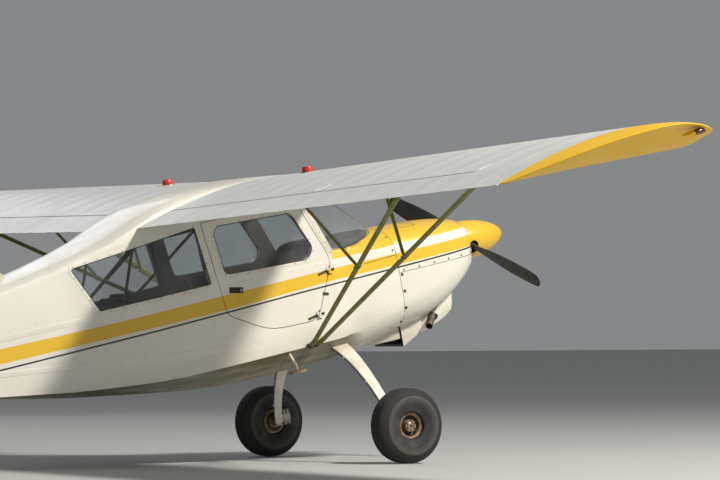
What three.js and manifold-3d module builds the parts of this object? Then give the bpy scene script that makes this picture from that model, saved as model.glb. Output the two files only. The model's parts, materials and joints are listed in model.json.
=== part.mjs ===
import * as THREE from 'three';
import { mergeVertices } from 'three/addons/utils/BufferGeometryUtils.js';
import Module from 'manifold-3d';

const wasm = await Module();
wasm.setup();

// A tandem two-seat high-wing light aircraft with a tailwheel, standing on its three wheels.
// Every piece is drawn level, in millimetres: x forward from the wing's leading edge, y to the left
// from the middle plane, z up from the propeller's axis. The whole aircraft is then pitched nose-up
// onto its wheels and moved so that the origin is at the bottom centre of its box.

// Gaps
const TOUCH = 0.3;
const SLIVER = 0.03;
const CLEAR = 6;
const PIN_RADIUS = 5.1;
const PIN_HOLE_RADIUS = 5.6;

// Wing
const CHORD = 1524;
const CAMBER = 0.04;
const CAMBER_PLACE = 0.4;
const THICKNESS = 0.12;
const WING_HEIGHT = 678;
const DIHEDRAL = THREE.MathUtils.degToRad(1.38);
const INCIDENCE = THREE.MathUtils.degToRad(1.03);
const WING_ROOT = 400;
const TIP_RIB = 4985;
const HALF_SPAN = 5510;
const TRAILING_EDGE_HALF = 3;
const HINGE_FRACTION = 0.815;
const FLAP_SPAN = [408, 2372];
const AILERON_SPAN = [2384, 4352];

// Fuselage and cowl
const CABIN_HALF_WIDTH = 400;
const WALL = 30;
const CABIN_FRONT = 35;
const CABIN_REAR = -2250;
const FIREWALL = 600;
const COWL_FRONT = 1400;
const COWL_WALL = 6;
const TAIL_POST = -4620;

// Propeller and engine
const PROPELLER_X = 1471;
const PROPELLER_RADIUS = 1004;
const PROPELLER_ANGLE = THREE.MathUtils.degToRad(110.3);
const SPINNER_BACK = 1424;
const SPINNER_TIP = 1840;
const SPINNER_RADIUS = 156;

// Main gear
const MAIN_AXLE = { x: 45, z: -1131 };
const HALF_TRACK = 993;
const TYRE_RADIUS = 277;
const TYRE_WIDTH = 208;

// Tail
const TAIL_AXLE = { x: -4850, z: -288 };
const TAILWHEEL_RADIUS = 108;
const RUDDER_HINGE_X = -4662;
const ELEVATOR_HINGE = { x: -4560, z: 150 };
const TAILPLANE_HALF_SPAN = 1550;
const TAIL_HALF_THICKNESS = 17;

// Struts
const STRUT_FOOT = { x: -274, y: 418, z: -462 };
const STRUT_TOP_Y = 3210;
const FRONT_SPAR = 381;
const REAR_SPAR = 1060;
const JURY_Y = 1940;

// Surface finishes: colour, roughness, metalness
const FINISH = {
  cream: [0xf1eee4, 0.35, 0.0],
  wingWhite: [0xd8d8d2, 0.5, 0.0],
  yellow: [0xf0bf2c, 0.35, 0.0],
  olive: [0x6b6836, 0.45, 0.1],
  dark: [0x2c2c28, 0.5, 0.2],
  steel: [0x8d8f90, 0.35, 0.8],
  rubber: [0x2b2a2a, 0.9, 0.0],
  rust: [0x8a6a52, 0.6, 0.5],
  glass: [0xaec0c6, 0.05, 0.0],
  red: [0xc8302a, 0.4, 0.0],
  seat: [0x7a4a2c, 0.7, 0.0],
  interior: [0x4a4640, 0.8, 0.0],
};

function material(finish) {
  const [color, roughness, metalness] = FINISH[finish];
  const made = new THREE.MeshStandardMaterial({ color, roughness, metalness });
  if (finish === 'glass') {
    made.transparent = true;
    made.opacity = 0.35;
  }
  return made;
}

// Solids: a solid is a Manifold, made from rings of points or from a three.js geometry

function solidFrom(positions, triangles) {
  let volume = 0;
  for (const [a, b, c] of triangles) {
    const [p, q, r] = [positions[a], positions[b], positions[c]];
    volume += p[0] * (q[1] * r[2] - q[2] * r[1]) - p[1] * (q[0] * r[2] - q[2] * r[0])
      + p[2] * (q[0] * r[1] - q[1] * r[0]);
  }
  const turned = volume < 0 ? triangles.map(([a, b, c]) => [a, c, b]) : triangles;
  return new wasm.Manifold(new wasm.Mesh({
    numProp: 3,
    vertProperties: Float32Array.from(positions.flat()),
    triVerts: Uint32Array.from(turned.flat()),
  }));
}

function solidOf(geometry) {
  const plain = geometry.clone();
  plain.deleteAttribute('normal');
  plain.deleteAttribute('uv');
  const merged = mergeVertices(plain, 1e-3);
  const points = merged.getAttribute('position');
  const positions = [];
  for (let i = 0; i < points.count; i += 1) positions.push([points.getX(i), points.getY(i), points.getZ(i)]);
  const index = merged.getIndex().array;
  const triangles = [];
  for (let i = 0; i < index.length; i += 3) {
    const corners = [index[i], index[i + 1], index[i + 2]];
    if (new Set(corners).size === 3) triangles.push(corners);
  }
  return solidFrom(positions, triangles);
}

// The end of a ring whose two sides face each other, closed like a zip
function zipCap(count) {
  const triangles = [];
  let low = 0;
  let high = count - 1;
  while (high - low > 1) {
    triangles.push([low, low + 1, high]);
    low += 1;
    if (high - low > 1) triangles.push([low, high - 1, high]);
    high -= 1;
  }
  return triangles;
}

// The end of a ring of any outline, closed by cutting ears
function earCap(ring) {
  const spans = [0, 1, 2].map((axis) => {
    const values = ring.map((point) => point[axis]);
    return Math.max(...values) - Math.min(...values);
  });
  const flat = spans.indexOf(Math.min(...spans));
  const [u, v] = [0, 1, 2].filter((axis) => axis !== flat);
  const contour = ring.map((point) => new THREE.Vector2(point[u], point[v]));
  const triangles = THREE.ShapeUtils.triangulateShape(contour, []);
  const areas = triangles.map((triangle) => THREE.ShapeUtils.area(triangle.map((index) => contour[index])));
  const whole = areas.reduce((sum, area) => sum + area, 0);
  const alike = Math.sign(whole) === Math.sign(THREE.ShapeUtils.area(contour));
  return triangles.map(([a, b, c]) => (alike ? [a, b, c] : [a, c, b]));
}

// A closed skin through rings of equal count. An even skin has its two halves cut into triangles alike.
// Where like is given, both ends are cut into triangles as that ring would be.
function loft(rings, cap = 'zip', even = false, like = null) {
  const count = rings[0].length;
  const triangles = [];
  for (let i = 0; i + 1 < rings.length; i += 1) {
    for (let j = 0; j < count; j += 1) {
      const a = i * count + j;
      const b = i * count + ((j + 1) % count);
      if (even && j >= count / 2) triangles.push([a, b, a + count], [b, b + count, a + count]);
      else triangles.push([a, b, b + count], [a, b + count, a + count]);
    }
  }
  const last = (rings.length - 1) * count;
  const first = cap === 'zip' ? zipCap(count) : earCap(like ?? rings[0]);
  const end = cap === 'zip' ? zipCap(count) : earCap(like ?? rings[rings.length - 1]);
  for (const [a, b, c] of first) triangles.push([a, c, b]);
  for (const [a, b, c] of end) triangles.push([last + a, last + b, last + c]);
  return solidFrom(rings.flat(), triangles);
}

const inXZ = (outline, y) => outline.map(([x, z]) => [x, y, z]);
const inXY = (outline, z) => outline.map(([x, y]) => [x, y, z]);
const inYZ = (outline, x) => outline.map(([y, z]) => [x, y, z]);
const acrossY = (outline, from, to) => loft([inXZ(outline, from), inXZ(outline, to)], 'ear');
const upZ = (outline, from, to) => loft([inXY(outline, from), inXY(outline, to)], 'ear');
const alongX = (outline, from, to) => loft([inYZ(outline, from), inYZ(outline, to)], 'ear');

function box(x, y, z) {
  return alongX([[y[0], z[0]], [y[1], z[0]], [y[1], z[1]], [y[0], z[1]]], x[0], x[1]);
}

// Two directions square to a line, the first of them as near as can be to a given one
function squareTo(direction, near) {
  const along = new THREE.Vector3(...direction).normalize();
  const wanted = new THREE.Vector3(...near);
  const first = wanted.clone().addScaledVector(along, -wanted.dot(along)).normalize();
  const second = new THREE.Vector3().crossVectors(along, first);
  return [first, second];
}

// A rod of round or oval section from one point to another
function rod(from, to, radius, { sides = 12, width = radius, near = [1, 0.013, 0.017], endScale = 1 } = {}) {
  const direction = to.map((value, axis) => value - from[axis]);
  const [first, second] = squareTo(direction, near);
  const ring = (centre, scale) => Array.from({ length: sides }, (_, step) => {
    const angle = (2 * Math.PI * (step + 0.5)) / sides;
    const a = width * scale * Math.cos(angle);
    const b = radius * scale * Math.sin(angle);
    return [0, 1, 2].map((axis) => centre[axis] + a * first.getComponent(axis) + b * second.getComponent(axis));
  });
  return loft([ring(from, 1), ring(to, endScale)]);
}

// A solid of revolution: profile rows are distance along the axis and radius
function turned(profile, centre, axis, sides) {
  const points = profile.map(([along, radius]) => new THREE.Vector2(Math.max(radius, 0), along));
  const geometry = new THREE.LatheGeometry(points, sides);
  const up = new THREE.Vector3(0, 1, 0);
  geometry.applyQuaternion(new THREE.Quaternion().setFromUnitVectors(up, new THREE.Vector3(...axis).normalize()));
  geometry.translate(...centre);
  return solidOf(geometry);
}

const join = (...solids) => solids.reduce((whole, next) => whole.add(next));
const cut = (solid, ...tools) => tools.reduce((rest, tool) => rest.subtract(tool), solid);
const keep = (solid, region) => solid.intersect(region);

function meshOf(solid) {
  const mesh = solid.getMesh();
  const geometry = new THREE.BufferGeometry();
  geometry.setAttribute('position', new THREE.BufferAttribute(Float32Array.from(mesh.vertProperties), 3));
  geometry.setIndex(new THREE.BufferAttribute(Uint32Array.from(mesh.triVerts), 1));
  geometry.computeVertexNormals();
  return geometry;
}

// The same solid moved, or mirrored to the other side of the middle plane
function remade(solid, change) {
  const mesh = solid.getMesh();
  const positions = [];
  for (let i = 0; i < mesh.vertProperties.length; i += 3) {
    positions.push(change([...mesh.vertProperties.slice(i, i + 3)]));
  }
  const triangles = [];
  for (let i = 0; i < mesh.triVerts.length; i += 3) triangles.push([...mesh.triVerts.slice(i, i + 3)]);
  return solidFrom(positions, triangles);
}
// The largest body of a cut or joined solid, without the needle-thin triangles that cutting leaves
function mainBody(solid) {
  const [largest] = solid.decompose().sort((a, b) => b.volume() - a.volume());
  return remade(largest, (point) => point).simplify(SLIVER);
}
const mirrored = (solid) => remade(solid, ([x, y, z]) => [x, -y, z]);
const moved = (solid, [dx, dy, dz]) => remade(solid, ([x, y, z]) => [x + dx, y + dy, z + dz]);

// An outline whose corners are rounded by arcs of a few steps
function rounded(outline, radius, steps = 3) {
  const points = [];
  outline.forEach((corner, index) => {
    const before = outline[(index + outline.length - 1) % outline.length];
    const after = outline[(index + 1) % outline.length];
    const here = new THREE.Vector2(corner[0], corner[1]);
    const back = new THREE.Vector2(before[0], before[1]).sub(here);
    const ahead = new THREE.Vector2(after[0], after[1]).sub(here);
    const reach = Math.min(corner[2] ?? radius, back.length() * 0.45, ahead.length() * 0.45);
    const start = here.clone().addScaledVector(back.normalize(), reach);
    const end = here.clone().addScaledVector(ahead.normalize(), reach);
    const curve = new THREE.QuadraticBezierCurve(start, here, end);
    curve.getPoints(steps).forEach((point) => points.push([point.x, point.y]));
  });
  return points;
}

// An outline without the points that lie on the line between their neighbours, or on a neighbour
function thinned(outline) {
  return outline.filter((point, index) => {
    const before = outline[(index + outline.length - 1) % outline.length];
    const after = outline[(index + 1) % outline.length];
    const [ax, ay] = [point[0] - before[0], point[1] - before[1]];
    const [bx, by] = [after[0] - point[0], after[1] - point[1]];
    const lengths = Math.hypot(ax, ay) * Math.hypot(bx, by);
    return Math.hypot(ax, ay) > 0.5 && Math.abs(ax * by - ay * bx) > lengths * 0.004;
  });
}

// An outline moved inward by a distance, for panes and doors that sit in an opening
function inset(outline, distance) {
  const area = THREE.ShapeUtils.area(outline.map(([u, v]) => new THREE.Vector2(u, v)));
  const side = area > 0 ? 1 : -1;
  return outline.map((corner, index) => {
    const before = outline[(index + outline.length - 1) % outline.length];
    const after = outline[(index + 1) % outline.length];
    const back = new THREE.Vector2(corner[0] - before[0], corner[1] - before[1]).normalize();
    const ahead = new THREE.Vector2(after[0] - corner[0], after[1] - corner[1]).normalize();
    const inward = new THREE.Vector2(-(back.y + ahead.y), back.x + ahead.x).multiplyScalar(side).normalize();
    const lean = Math.max(0.35, Math.abs(inward.dot(new THREE.Vector2(-ahead.y, ahead.x))));
    return [corner[0] + (inward.x * distance) / lean, corner[1] + (inward.y * distance) / lean, corner[2]];
  });
}

// Wing section: heights of the two skins over the chord line, as parts of the chord
function skinHeight(fraction, side) {
  const root = Math.sqrt(fraction);
  const half = 5 * THICKNESS * (0.2969 * root - 0.126 * fraction - 0.3516 * fraction ** 2
    + 0.2843 * fraction ** 3 - 0.1036 * fraction ** 4);
  const camber = fraction < CAMBER_PLACE
    ? (CAMBER / CAMBER_PLACE ** 2) * (2 * CAMBER_PLACE * fraction - fraction ** 2)
    : (CAMBER / (1 - CAMBER_PLACE) ** 2) * (1 - 2 * CAMBER_PLACE + 2 * CAMBER_PLACE * fraction - fraction ** 2);
  return camber + side * half;
}

// A point of the wing: part of the chord, height over the chord line, distance out from the middle
function wingPoint(fraction, height, out) {
  const aft = fraction * CHORD;
  return [
    -aft * Math.cos(INCIDENCE) + height * Math.sin(INCIDENCE),
    out,
    WING_HEIGHT + out * Math.tan(DIHEDRAL) - aft * Math.sin(INCIDENCE) + height * Math.cos(INCIDENCE),
  ];
}

const SKIN_FRACTIONS = [1, 0.9, HINGE_FRACTION, 0.72, 0.6, 0.48, 0.36, 0.26, 0.17, 0.1, 0.05, 0.02, 0.005];

function sectionRing(out) {
  const skin = (fraction, side) => {
    const height = Math.max(Math.abs(skinHeight(fraction, side) * CHORD), 0) * Math.sign(skinHeight(fraction, side));
    return wingPoint(fraction, fraction === 1 ? side * TRAILING_EDGE_HALF : height, out);
  };
  const upper = SKIN_FRACTIONS.map((fraction) => skin(fraction, 1));
  const lower = SKIN_FRACTIONS.map((fraction) => skin(fraction, -1)).reverse();
  return [...upper, wingPoint(0, 0, out), ...lower];
}

const wingBlank = (from, to) => loft([sectionRing(from), sectionRing(to)]);

// The hinge line of flap and aileron: in the middle between the skins
const HINGE_HEIGHT = ((skinHeight(HINGE_FRACTION, 1) + skinHeight(HINGE_FRACTION, -1)) / 2) * CHORD;
const NOSE_RADIUS = ((skinHeight(HINGE_FRACTION, 1) - skinHeight(HINGE_FRACTION, -1)) / 2) * CHORD - 0.8;
const hingeAt = (out) => wingPoint(HINGE_FRACTION, HINGE_HEIGHT, out);
const COVE_X = hingeAt(0)[0] + NOSE_RADIUS + CLEAR;

// A bracket with a pin that carries a moving surface, and the room that the surface gives it.
// Both are built round a point of the hinge line; toCarrier points from the hinge to the fixed part.
const BRACKET_HALF = 4;
const PIN_HALF = 16;
function bracket(point, axis, toCarrier, reach, height = 13) {
  const [along, up] = squareTo(axis, toCarrier);
  const at = (a, u, s) => [0, 1, 2].map((i) => point[i] + a * along.getComponent(i)
    + u * up.getComponent(i) + s * axis[i]);
  const outline = [[reach, height], [reach, -height], [-3, -height], [-10, -height * 0.6], [-13, 0], [-10, height * 0.6], [-3, height]];
  const plate = loft([-BRACKET_HALF, BRACKET_HALF].map((s) => outline.map(([a, u]) => at(a, u, s))), 'ear');
  const pin = rod(at(0, 0, -PIN_HALF), at(0, 0, PIN_HALF), PIN_RADIUS, { sides: 8 });
  return join(plate, pin);
}
function bracketRoom(point, axis, toCarrier, reach, height) {
  const [along, up] = squareTo(axis, toCarrier);
  const at = (a, u, s) => [0, 1, 2].map((i) => point[i] + a * along.getComponent(i)
    + u * up.getComponent(i) + s * axis[i]);
  const half = BRACKET_HALF + 5.2;
  const outline = [[reach, height], [reach, -height], [-19, -height], [-19, height]];
  const slot = loft([-half, half].map((s) => outline.map(([a, u]) => at(a, u, s))), 'ear');
  const hole = rod(at(0, 0, -PIN_HALF - 0.6), at(0, 0, PIN_HALF + 0.6), PIN_HOLE_RADIUS, { sides: 12 });
  return join(slot, hole);
}

// Flap and aileron of the left wing, and the wing with their bays
const surfaceAxis = [0, Math.cos(DIHEDRAL), Math.sin(DIHEDRAL)];
function bay([from, to]) {
  const gap = 4;
  return box([-CHORD - 50, COVE_X], [from - gap, to + gap], [WING_HEIGHT - 200, WING_HEIGHT + 500]);
}
function bracketPlaces([from, to]) {
  const margin = 190;
  return [from + margin, to - margin];
}
function surfaceBlank([from, to]) {
  const behind = box([-CHORD - 60, hingeAt(0)[0]], [from - 1, to + 1], [WING_HEIGHT - 200, WING_HEIGHT + 500]);
  const tail = keep(wingBlank(from, to), behind);
  const nose = rod(hingeAt(from), hingeAt(to), NOSE_RADIUS, { sides: 16 });
  const slotReach = NOSE_RADIUS + 2;
  const rooms = bracketPlaces([from, to]).map((out) => bracketRoom(hingeAt(out), surfaceAxis, [1, 0, 0], slotReach, 60));
  return cut(join(tail, nose), ...rooms);
}

function wingLeft() {
  const bays = [bay(FLAP_SPAN), bay(AILERON_SPAN)];
  const brackets = [...bracketPlaces(FLAP_SPAN), ...bracketPlaces(AILERON_SPAN)]
    .map((out) => bracket(hingeAt(out), surfaceAxis, [1, 0, 0], NOSE_RADIUS + CLEAR + 6));
  return join(cut(wingBlank(WING_ROOT + TOUCH, TIP_RIB), ...bays), ...brackets);
}

// Wing tip: the upper skin runs out to a sharp bowed edge and the under side rises to meet it.
// Rows: part of the chord, distance of the edge out from the middle, drop of the edge under the skin
const TIP_EDGE = [
  [0.985, 5045, 0],
  [0.93, 5140, 0],
  [0.815, 5264, 2],
  [0.68, 5367, 4],
  [0.54, 5441, 7],
  [0.4, 5492, 13],
  [0.28, 5510, 26],
  [0.18, 5470, 46],
  [0.1, 5372, 58],
  [0.05, 5255, 53],
  [0.02, 5160, 38],
  [0.005, 5070, 18],
];
function tipLeft() {
  const columns = TIP_EDGE.map(([fraction, edge, drop]) => {
    const top = skinHeight(fraction, 1) * CHORD;
    const low = skinHeight(fraction, -1) * CHORD;
    const start = TIP_RIB + TOUCH;
    const across = [0, 0.5, 0.8, 1];
    const upper = across.map((part) => wingPoint(fraction, top - drop * part ** 3, start + (edge - start) * part));
    const under = [1, 0.72, 0.42, 0.16, 0].map((part) => {
      const rise = part ** 1.9;
      const height = low + (top - drop - 5 - low) * rise;
      return wingPoint(fraction, height, start + (edge - start) * part);
    });
    return [...upper, ...under];
  });
  return loft(columns, 'ear');
}

// Fuselage sections. Every row is one station of the body:
// x, half width, shoulder z, crown z, longeron z, bevel half width, bevel z, keel z, roundness of the lower corner
const BODY = [
  [600, 392, 60, 262, -300, 250, -505, -545, 1],
  [400, 397, 90, 268, -370, 262, -545, -585, 0.7],
  [200, 400, 130, 274, -430, 275, -580, -612, 0.35],
  [CABIN_FRONT + TOUCH, 400, 185, 280, -460, 285, -595, -622, 0],
];
// The cabin and the tail: the shoulder follows the wing's upper skin where the wing meets it
const CABIN = [
  [CABIN_FRONT, 400, 640, 700, -460, 285, -595, -622, 0],
  [-8, 400, 688, 716, -462, 287, -598, -624, 0],
  [-70, 400, 758, 772, -464, 290, -602, -626, 0],
  [-200, 400, 806, 816, -465, 290, -606, -628, 0],
  [-450, 400, 826, 840, -466, 290, -609, -630, 0],
  [-800, 400, 800, 842, -468, 290, -610, -630, 0],
  [-1100, 400, 756, 832, -468, 290, -598, -618, 0],
  [-1350, 400, 706, 788, -466, 285, -566, -586, 0],
  [-1540, 398, 640, 724, -458, 278, -540, -556, 0],
  [-1750, 382, 560, 644, -440, 270, -508, -522, 0],
  [-2000, 356, 500, 577, -416, 258, -468, -480, 0],
  [CABIN_REAR, 338, 440, 527, -386, 244, -426, -436, 0],
];
const TAIL = [
  [CABIN_REAR - TOUCH, 338, 440, 527, -386, 244, -426, -436, 0],
  [-2700, 296, 372, 452, -316, 212, -334, -342, 0],
  [-3200, 246, 312, 386, -238, 176, -250, -256, 0],
  [-3800, 178, 258, 318, -148, 126, -155, -159, 0],
  [-4300, 106, 226, 268, -74, 74, -78, -81, 0],
  [TAIL_POST, 42, 212, 236, -26, 28, -28, -30, 0],
];
const TOP_STEPS = 5;
const TOP_POWER = 2.4;
const LOW_STEPS = 2;

function bodyRing([x, half, shoulder, crown, longeron, bevelHalf, bevel, keel, roundness]) {
  const right = [];
  for (let step = 0; step <= 2 * LOW_STEPS; step += 1) {
    const part = step / (2 * LOW_STEPS);
    const onBevel = step > LOW_STEPS;
    const local = onBevel ? (step - LOW_STEPS) / LOW_STEPS : step / LOW_STEPS;
    const sharpY = onBevel ? bevelHalf + (half - bevelHalf) * local : bevelHalf * local;
    const sharpZ = onBevel ? bevel + (longeron - bevel) * local : keel + (bevel - keel) * local ** 1.3;
    const angle = (part * Math.PI) / 2;
    const roundY = half * Math.sin(angle) ** 0.9;
    const roundZ = longeron + (keel - longeron) * Math.cos(angle) ** 0.9;
    const y = sharpY + (roundY - sharpY) * roundness;
    const z = sharpZ + (roundZ - sharpZ) * roundness;
    right.push([y, z]);
  }
  for (let step = 0; step <= TOP_STEPS; step += 1) {
    const angle = (step / TOP_STEPS) * (Math.PI / 2);
    const y = half * Math.max(Math.cos(angle), 0) ** (2 / TOP_POWER);
    const z = shoulder + (crown - shoulder) * Math.sin(angle) ** (2 / TOP_POWER);
    right.push([step === TOP_STEPS ? 0 : y, z]);
  }
  const left = right.slice(1, -1).reverse().map(([y, z]) => [-y, z]);
  return [...right, ...left].map(([y, z]) => [x, y, z]);
}
const bodyLoft = (rows) => loft(rows.map((row) => bodyRing(row)), 'zip', true);

// Where the cabin is cut into roof, side walls and floor
const ROOF_LINE = [[60, 634], [-1150, 634], [-1540, 588], [-2260, 492]];
const FLOOR_LINE = [[60, -473], [-1500, -473], [-1750, -448], [-2260, -394]];
const TOP_OF_ALL = 1500;
const BOTTOM_OF_ALL = -1500;
const SIDE_OF_ALL = 700;
const across = (outline) => acrossY(outline, -SIDE_OF_ALL, SIDE_OF_ALL);
const lowered = (line, drop) => line.map(([x, z]) => [x, z - drop]);
const aboveLine = (line) => across([...line, [line.at(-1)[0], TOP_OF_ALL], [line[0][0], TOP_OF_ALL]]);
const belowLine = (line) => across([...line, [line.at(-1)[0], BOTTOM_OF_ALL], [line[0][0], BOTTOM_OF_ALL]]);

// The windscreen's edge on the cabin side: its lower rear corner and the top of the slanted post
const SCREEN_CORNER = [30, 186];
const SCREEN_POST_TOP = [-140, 604];

// Openings in the cabin sides: x, z and, where given, the corner's own radius
const DOOR = [
  [-1016, 604, 12], [-926, -103, 40], [-597, -283, 120], [-226, -292, 40],
  [-150, -246, 60], [-67, -72, 200], [14, 92, 50], [2, 178, 30], [-188, 604, 12],
];
const DOOR_WINDOW = [[-926, 553, 60], [-254, 530, 60], [-112, 238, 90], [-179, 167, 60], [-884, 194, 50]];
const REAR_WINDOW = [[-2088, 470, 12], [-1922, 138, 12], [-1016, 150, 14], [-1072, 575, 14]];
const CORNER = 40;
const doorOutline = rounded(DOOR, CORNER);
const doorWindowOutline = rounded(DOOR_WINDOW, CORNER);
const rearWindowOutline = rounded(REAR_WINDOW, CORNER);

// Hinge line of the door: along its slanted lower front edge, just outside the skin
const HINGE_STAND_OFF = 14;
const DOOR_HINGE_TOP = [-4, -(CABIN_HALF_WIDTH + HINGE_STAND_OFF), 70];
const DOOR_HINGE_LOW = [-168, -(CABIN_HALF_WIDTH + HINGE_STAND_OFF), -262];
const PANE = 4;

function cabinShell() {
  const outside = bodyLoft(CABIN);
  const inside = bodyLoft(CABIN.map((row) => [...row.slice(0, 1), row[1] - WALL, ...row.slice(2)]));
  const screenGap = across([
    [60, SCREEN_CORNER[1]], SCREEN_CORNER, SCREEN_POST_TOP, [-140, 660], [60, 660],
  ]);
  return { outside, inside, screenGap };
}

function sideWalls({ outside, inside, screenGap }) {
  const between = cut(outside, aboveLine(lowered(ROOF_LINE, 0)), belowLine(FLOOR_LINE), screenGap);
  const hollow = cut(inside, aboveLine(ROOF_LINE), belowLine(FLOOR_LINE));
  const stretched = remade(hollow, ([x, y, z]) => [x > 30 ? x + 60 : (x < CABIN_REAR + 5 ? x - 60 : x), y, z]);
  const both = cut(between, stretched);
  const half = (sign) => keep(both, box([-3000, 300], sign > 0 ? [1, 700] : [-700, -1], [-900, 1200]));
  return { left: half(1), right: half(-1) };
}

const outward = (sign, outline, from = 200, to = 500) => (sign > 0 ? acrossY(outline, from, to) : acrossY(outline, -to, -from));

// A pane that lies flush in a side wall: a slice of the wall's outer skin inside the window's outline
function sidePane(outside, sign, outline) {
  const inner = remade(outside, ([x, y, z]) => [x, y * (1 - PANE / CABIN_HALF_WIDTH), z]);
  const skin = cut(outside, inner);
  return keep(skin, outward(sign, inset(outline, TOUCH)));
}

// Windscreen: rings across the aircraft, each running from the deck up to the roof
const SCREEN_WALL = 5;
function windscreen() {
  const steps = 12;
  const rows = 6;
  const rings = [];
  for (let i = 0; i <= steps; i += 1) {
    const s = -1 + (2 * i) / steps;
    const bend = Math.sign(s) * Math.sin((Math.abs(s) * Math.PI) / 2) ** 0.9;
    const side = Math.abs(bend);
    const low = [30 + 530 * Math.sqrt(Math.max(1 - side ** 2.6, 0)), 399 * bend, 186 + 92 * (1 - side ** 3)];
    const topDrop = side ** 7;
    const top = [-2 - 138 * topDrop, 399 * bend, 700 - 96 * topDrop];
    const outer = [];
    const inner = [];
    for (let k = 0; k <= rows; k += 1) {
      const up = k / rows;
      const bulge = 26 * Math.sin(up * Math.PI) * (1 - side ** 4);
      const point = low.map((value, axis) => value + (top[axis] - value) * up);
      const normal = [0.66 * (1 - side ** 4), Math.sign(bend) * side ** 4, 0.75 * (1 - side ** 4)];
      outer.push(point.map((value, axis) => value + normal[axis] * bulge));
      const inward = new THREE.Vector3(...normal).normalize().multiplyScalar(-SCREEN_WALL);
      inner.push(point.map((value, axis) => value + normal[axis] * bulge + inward.getComponent(axis)));
    }
    rings.push([...outer, ...inner.reverse()]);
  }
  return loft(rings);
}

// Engine cowl: x, half width, shoulder z, crown z, lower side z, half width of the flat, its z, keel z, roundness
const COWL = [
  [FIREWALL + TOUCH, 392, 60, 262, -300, 250, -505, -545, 1],
  [780, 390, 52, 258, -262, 240, -480, -528, 1],
  [920, 384, 46, 251, -222, 230, -450, -492, 1],
  [1060, 370, 40, 241, -182, 220, -400, -432, 1],
  [1180, 348, 33, 228, -146, 200, -340, -364, 1],
  [1280, 315, 26, 210, -112, 180, -270, -296, 1],
  [1350, 272, 20, 188, -86, 150, -215, -240, 1],
  [1388, 226, 14, 166, -66, 120, -170, -196, 1],
  [COWL_FRONT, 196, 10, 150, -54, 100, -150, -172, 1],
];
// Chin under the cowl: x and bottom z
const CHIN = [[1222, -345], [1198, -440], [1162, -498], [1100, -540], [1010, -573], [920, -597], [838, -602]];
const CHIN_HALF = 172;
// Outlet under the cowl's rear edge, open to the rear
const OUTLET = { front: 835, rear: 640, frontZ: -530, lipZ: -664, half: 205 };

function cowlPieces() {
  const outside = bodyLoft(COWL);
  const inner = COWL.map((row) => {
    const [x, half, shoulder, crown, low, flat, flatZ, keel, roundness] = row;
    const t = COWL_WALL;
    const back = x < 1300 ? x : x - t;
    return [back, half - t, shoulder, crown - t, low, flat - t, flatZ + t, keel + t, roundness];
  });
  const inside = remade(bodyLoft(inner), ([x, y, z]) => [x < FIREWALL + 5 ? x - 20 : x, y, z]);
  const shaftHole = rod([1300, 0, 0], [1450, 0, 0], 62, { sides: 24, near: [0, 1, 0] });
  const intakes = [1, -1].map((sign) => alongX(
    rounded([[sign * 78, -52], [sign * 172, -62], [sign * 196, 20], [sign * 150, 84], [sign * 84, 72]], 26),
    1290,
    1450,
  ));
  const chinRings = CHIN.map(([x, bottom]) => {
    const top = -150;
    const half = CHIN_HALF * (x > 1200 ? 0.55 : x > 1180 ? 0.8 : 1);
    const round = Math.min(70, (top - bottom) * 0.3);
    return inYZ([[half, top], [half, bottom + round], [half - round * 0.35, bottom + round * 0.3],
      [half - round, bottom], [-half + round, bottom], [-half + round * 0.35, bottom + round * 0.3],
      [-half, bottom + round], [-half, top]], x);
  });
  const chin = cut(loft(chinRings), inside);
  const splitLine = [[500, -88], [1500, -88]];
  const shell = cut(outside, inside, shaftHole, ...intakes);
  const outletHole = box([OUTLET.rear + 8, OUTLET.front - 30], [-OUTLET.half + 16, OUTLET.half - 16], [-700, -380]);
  const upper = keep(shell, aboveLine([[500, -88 + TOUCH], [1500, -88 + TOUCH]]));
  const lowerShell = cut(keep(shell, belowLine(splitLine)), outletHole);
  const wedge = (half, grow, rear) => {
    const ring = (y) => inXZ([[OUTLET.front - grow, OUTLET.frontZ + 60], [OUTLET.front - grow, OUTLET.frontZ],
      [OUTLET.front - 55, OUTLET.frontZ - 68 + grow], [rear, OUTLET.lipZ + grow], [rear, OUTLET.frontZ + 60]], y);
    return loft([ring(-half), ring(half)], 'ear');
  };
  const ramp = cut(wedge(OUTLET.half, 0, OUTLET.rear), wedge(OUTLET.half - 5, 5, OUTLET.rear - 40), inside);
  const pipeRoom = EXHAUST.slice(1).map((end, index) => {
    const start = EXHAUST[index].map((value, axis) => value + (value - end[axis]) * 0.1);
    return rod(start, end, EXHAUST_RADIUS + CLEAR, { sides: 12, near: [1, 0, 0] });
  });
  return { outside, upper, lower: cut(join(lowerShell, chin, ramp), ...pipeRoom) };
}

// Exhaust pipe: it hangs under the engine's cylinders and leaves the chin's side
const EXHAUST_RADIUS = 27;
const EXHAUST = [[1024, -172, -100], [1010, -176, -385], [948, -190, -490], [898, -200, -566]];
const EXHAUST_WALL = 3;
function exhaustPipe(engine) {
  const ring = (station, radius) => {
    const before = EXHAUST[Math.max(station - 1, 0)];
    const after = EXHAUST[Math.min(station + 1, EXHAUST.length - 1)];
    const [side, up] = squareTo(after.map((value, axis) => value - before[axis]), [1, 0, 0]);
    return Array.from({ length: 16 }, (_, step) => {
      const turn = (step / 16) * 2 * Math.PI;
      return EXHAUST[station].map((value, axis) => value + radius * (Math.cos(turn) * side.getComponent(axis)
        + Math.sin(turn) * up.getComponent(axis)));
    });
  };
  const bore = EXHAUST_RADIUS - EXHAUST_WALL;
  const pipe = loft([...[0, 1, 2, 3].map((station) => ring(station, EXHAUST_RADIUS)), ring(3, bore), ring(2, bore)]);
  return cut(pipe, moved(engine, [0, 0, -TOUCH]));
}

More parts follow.
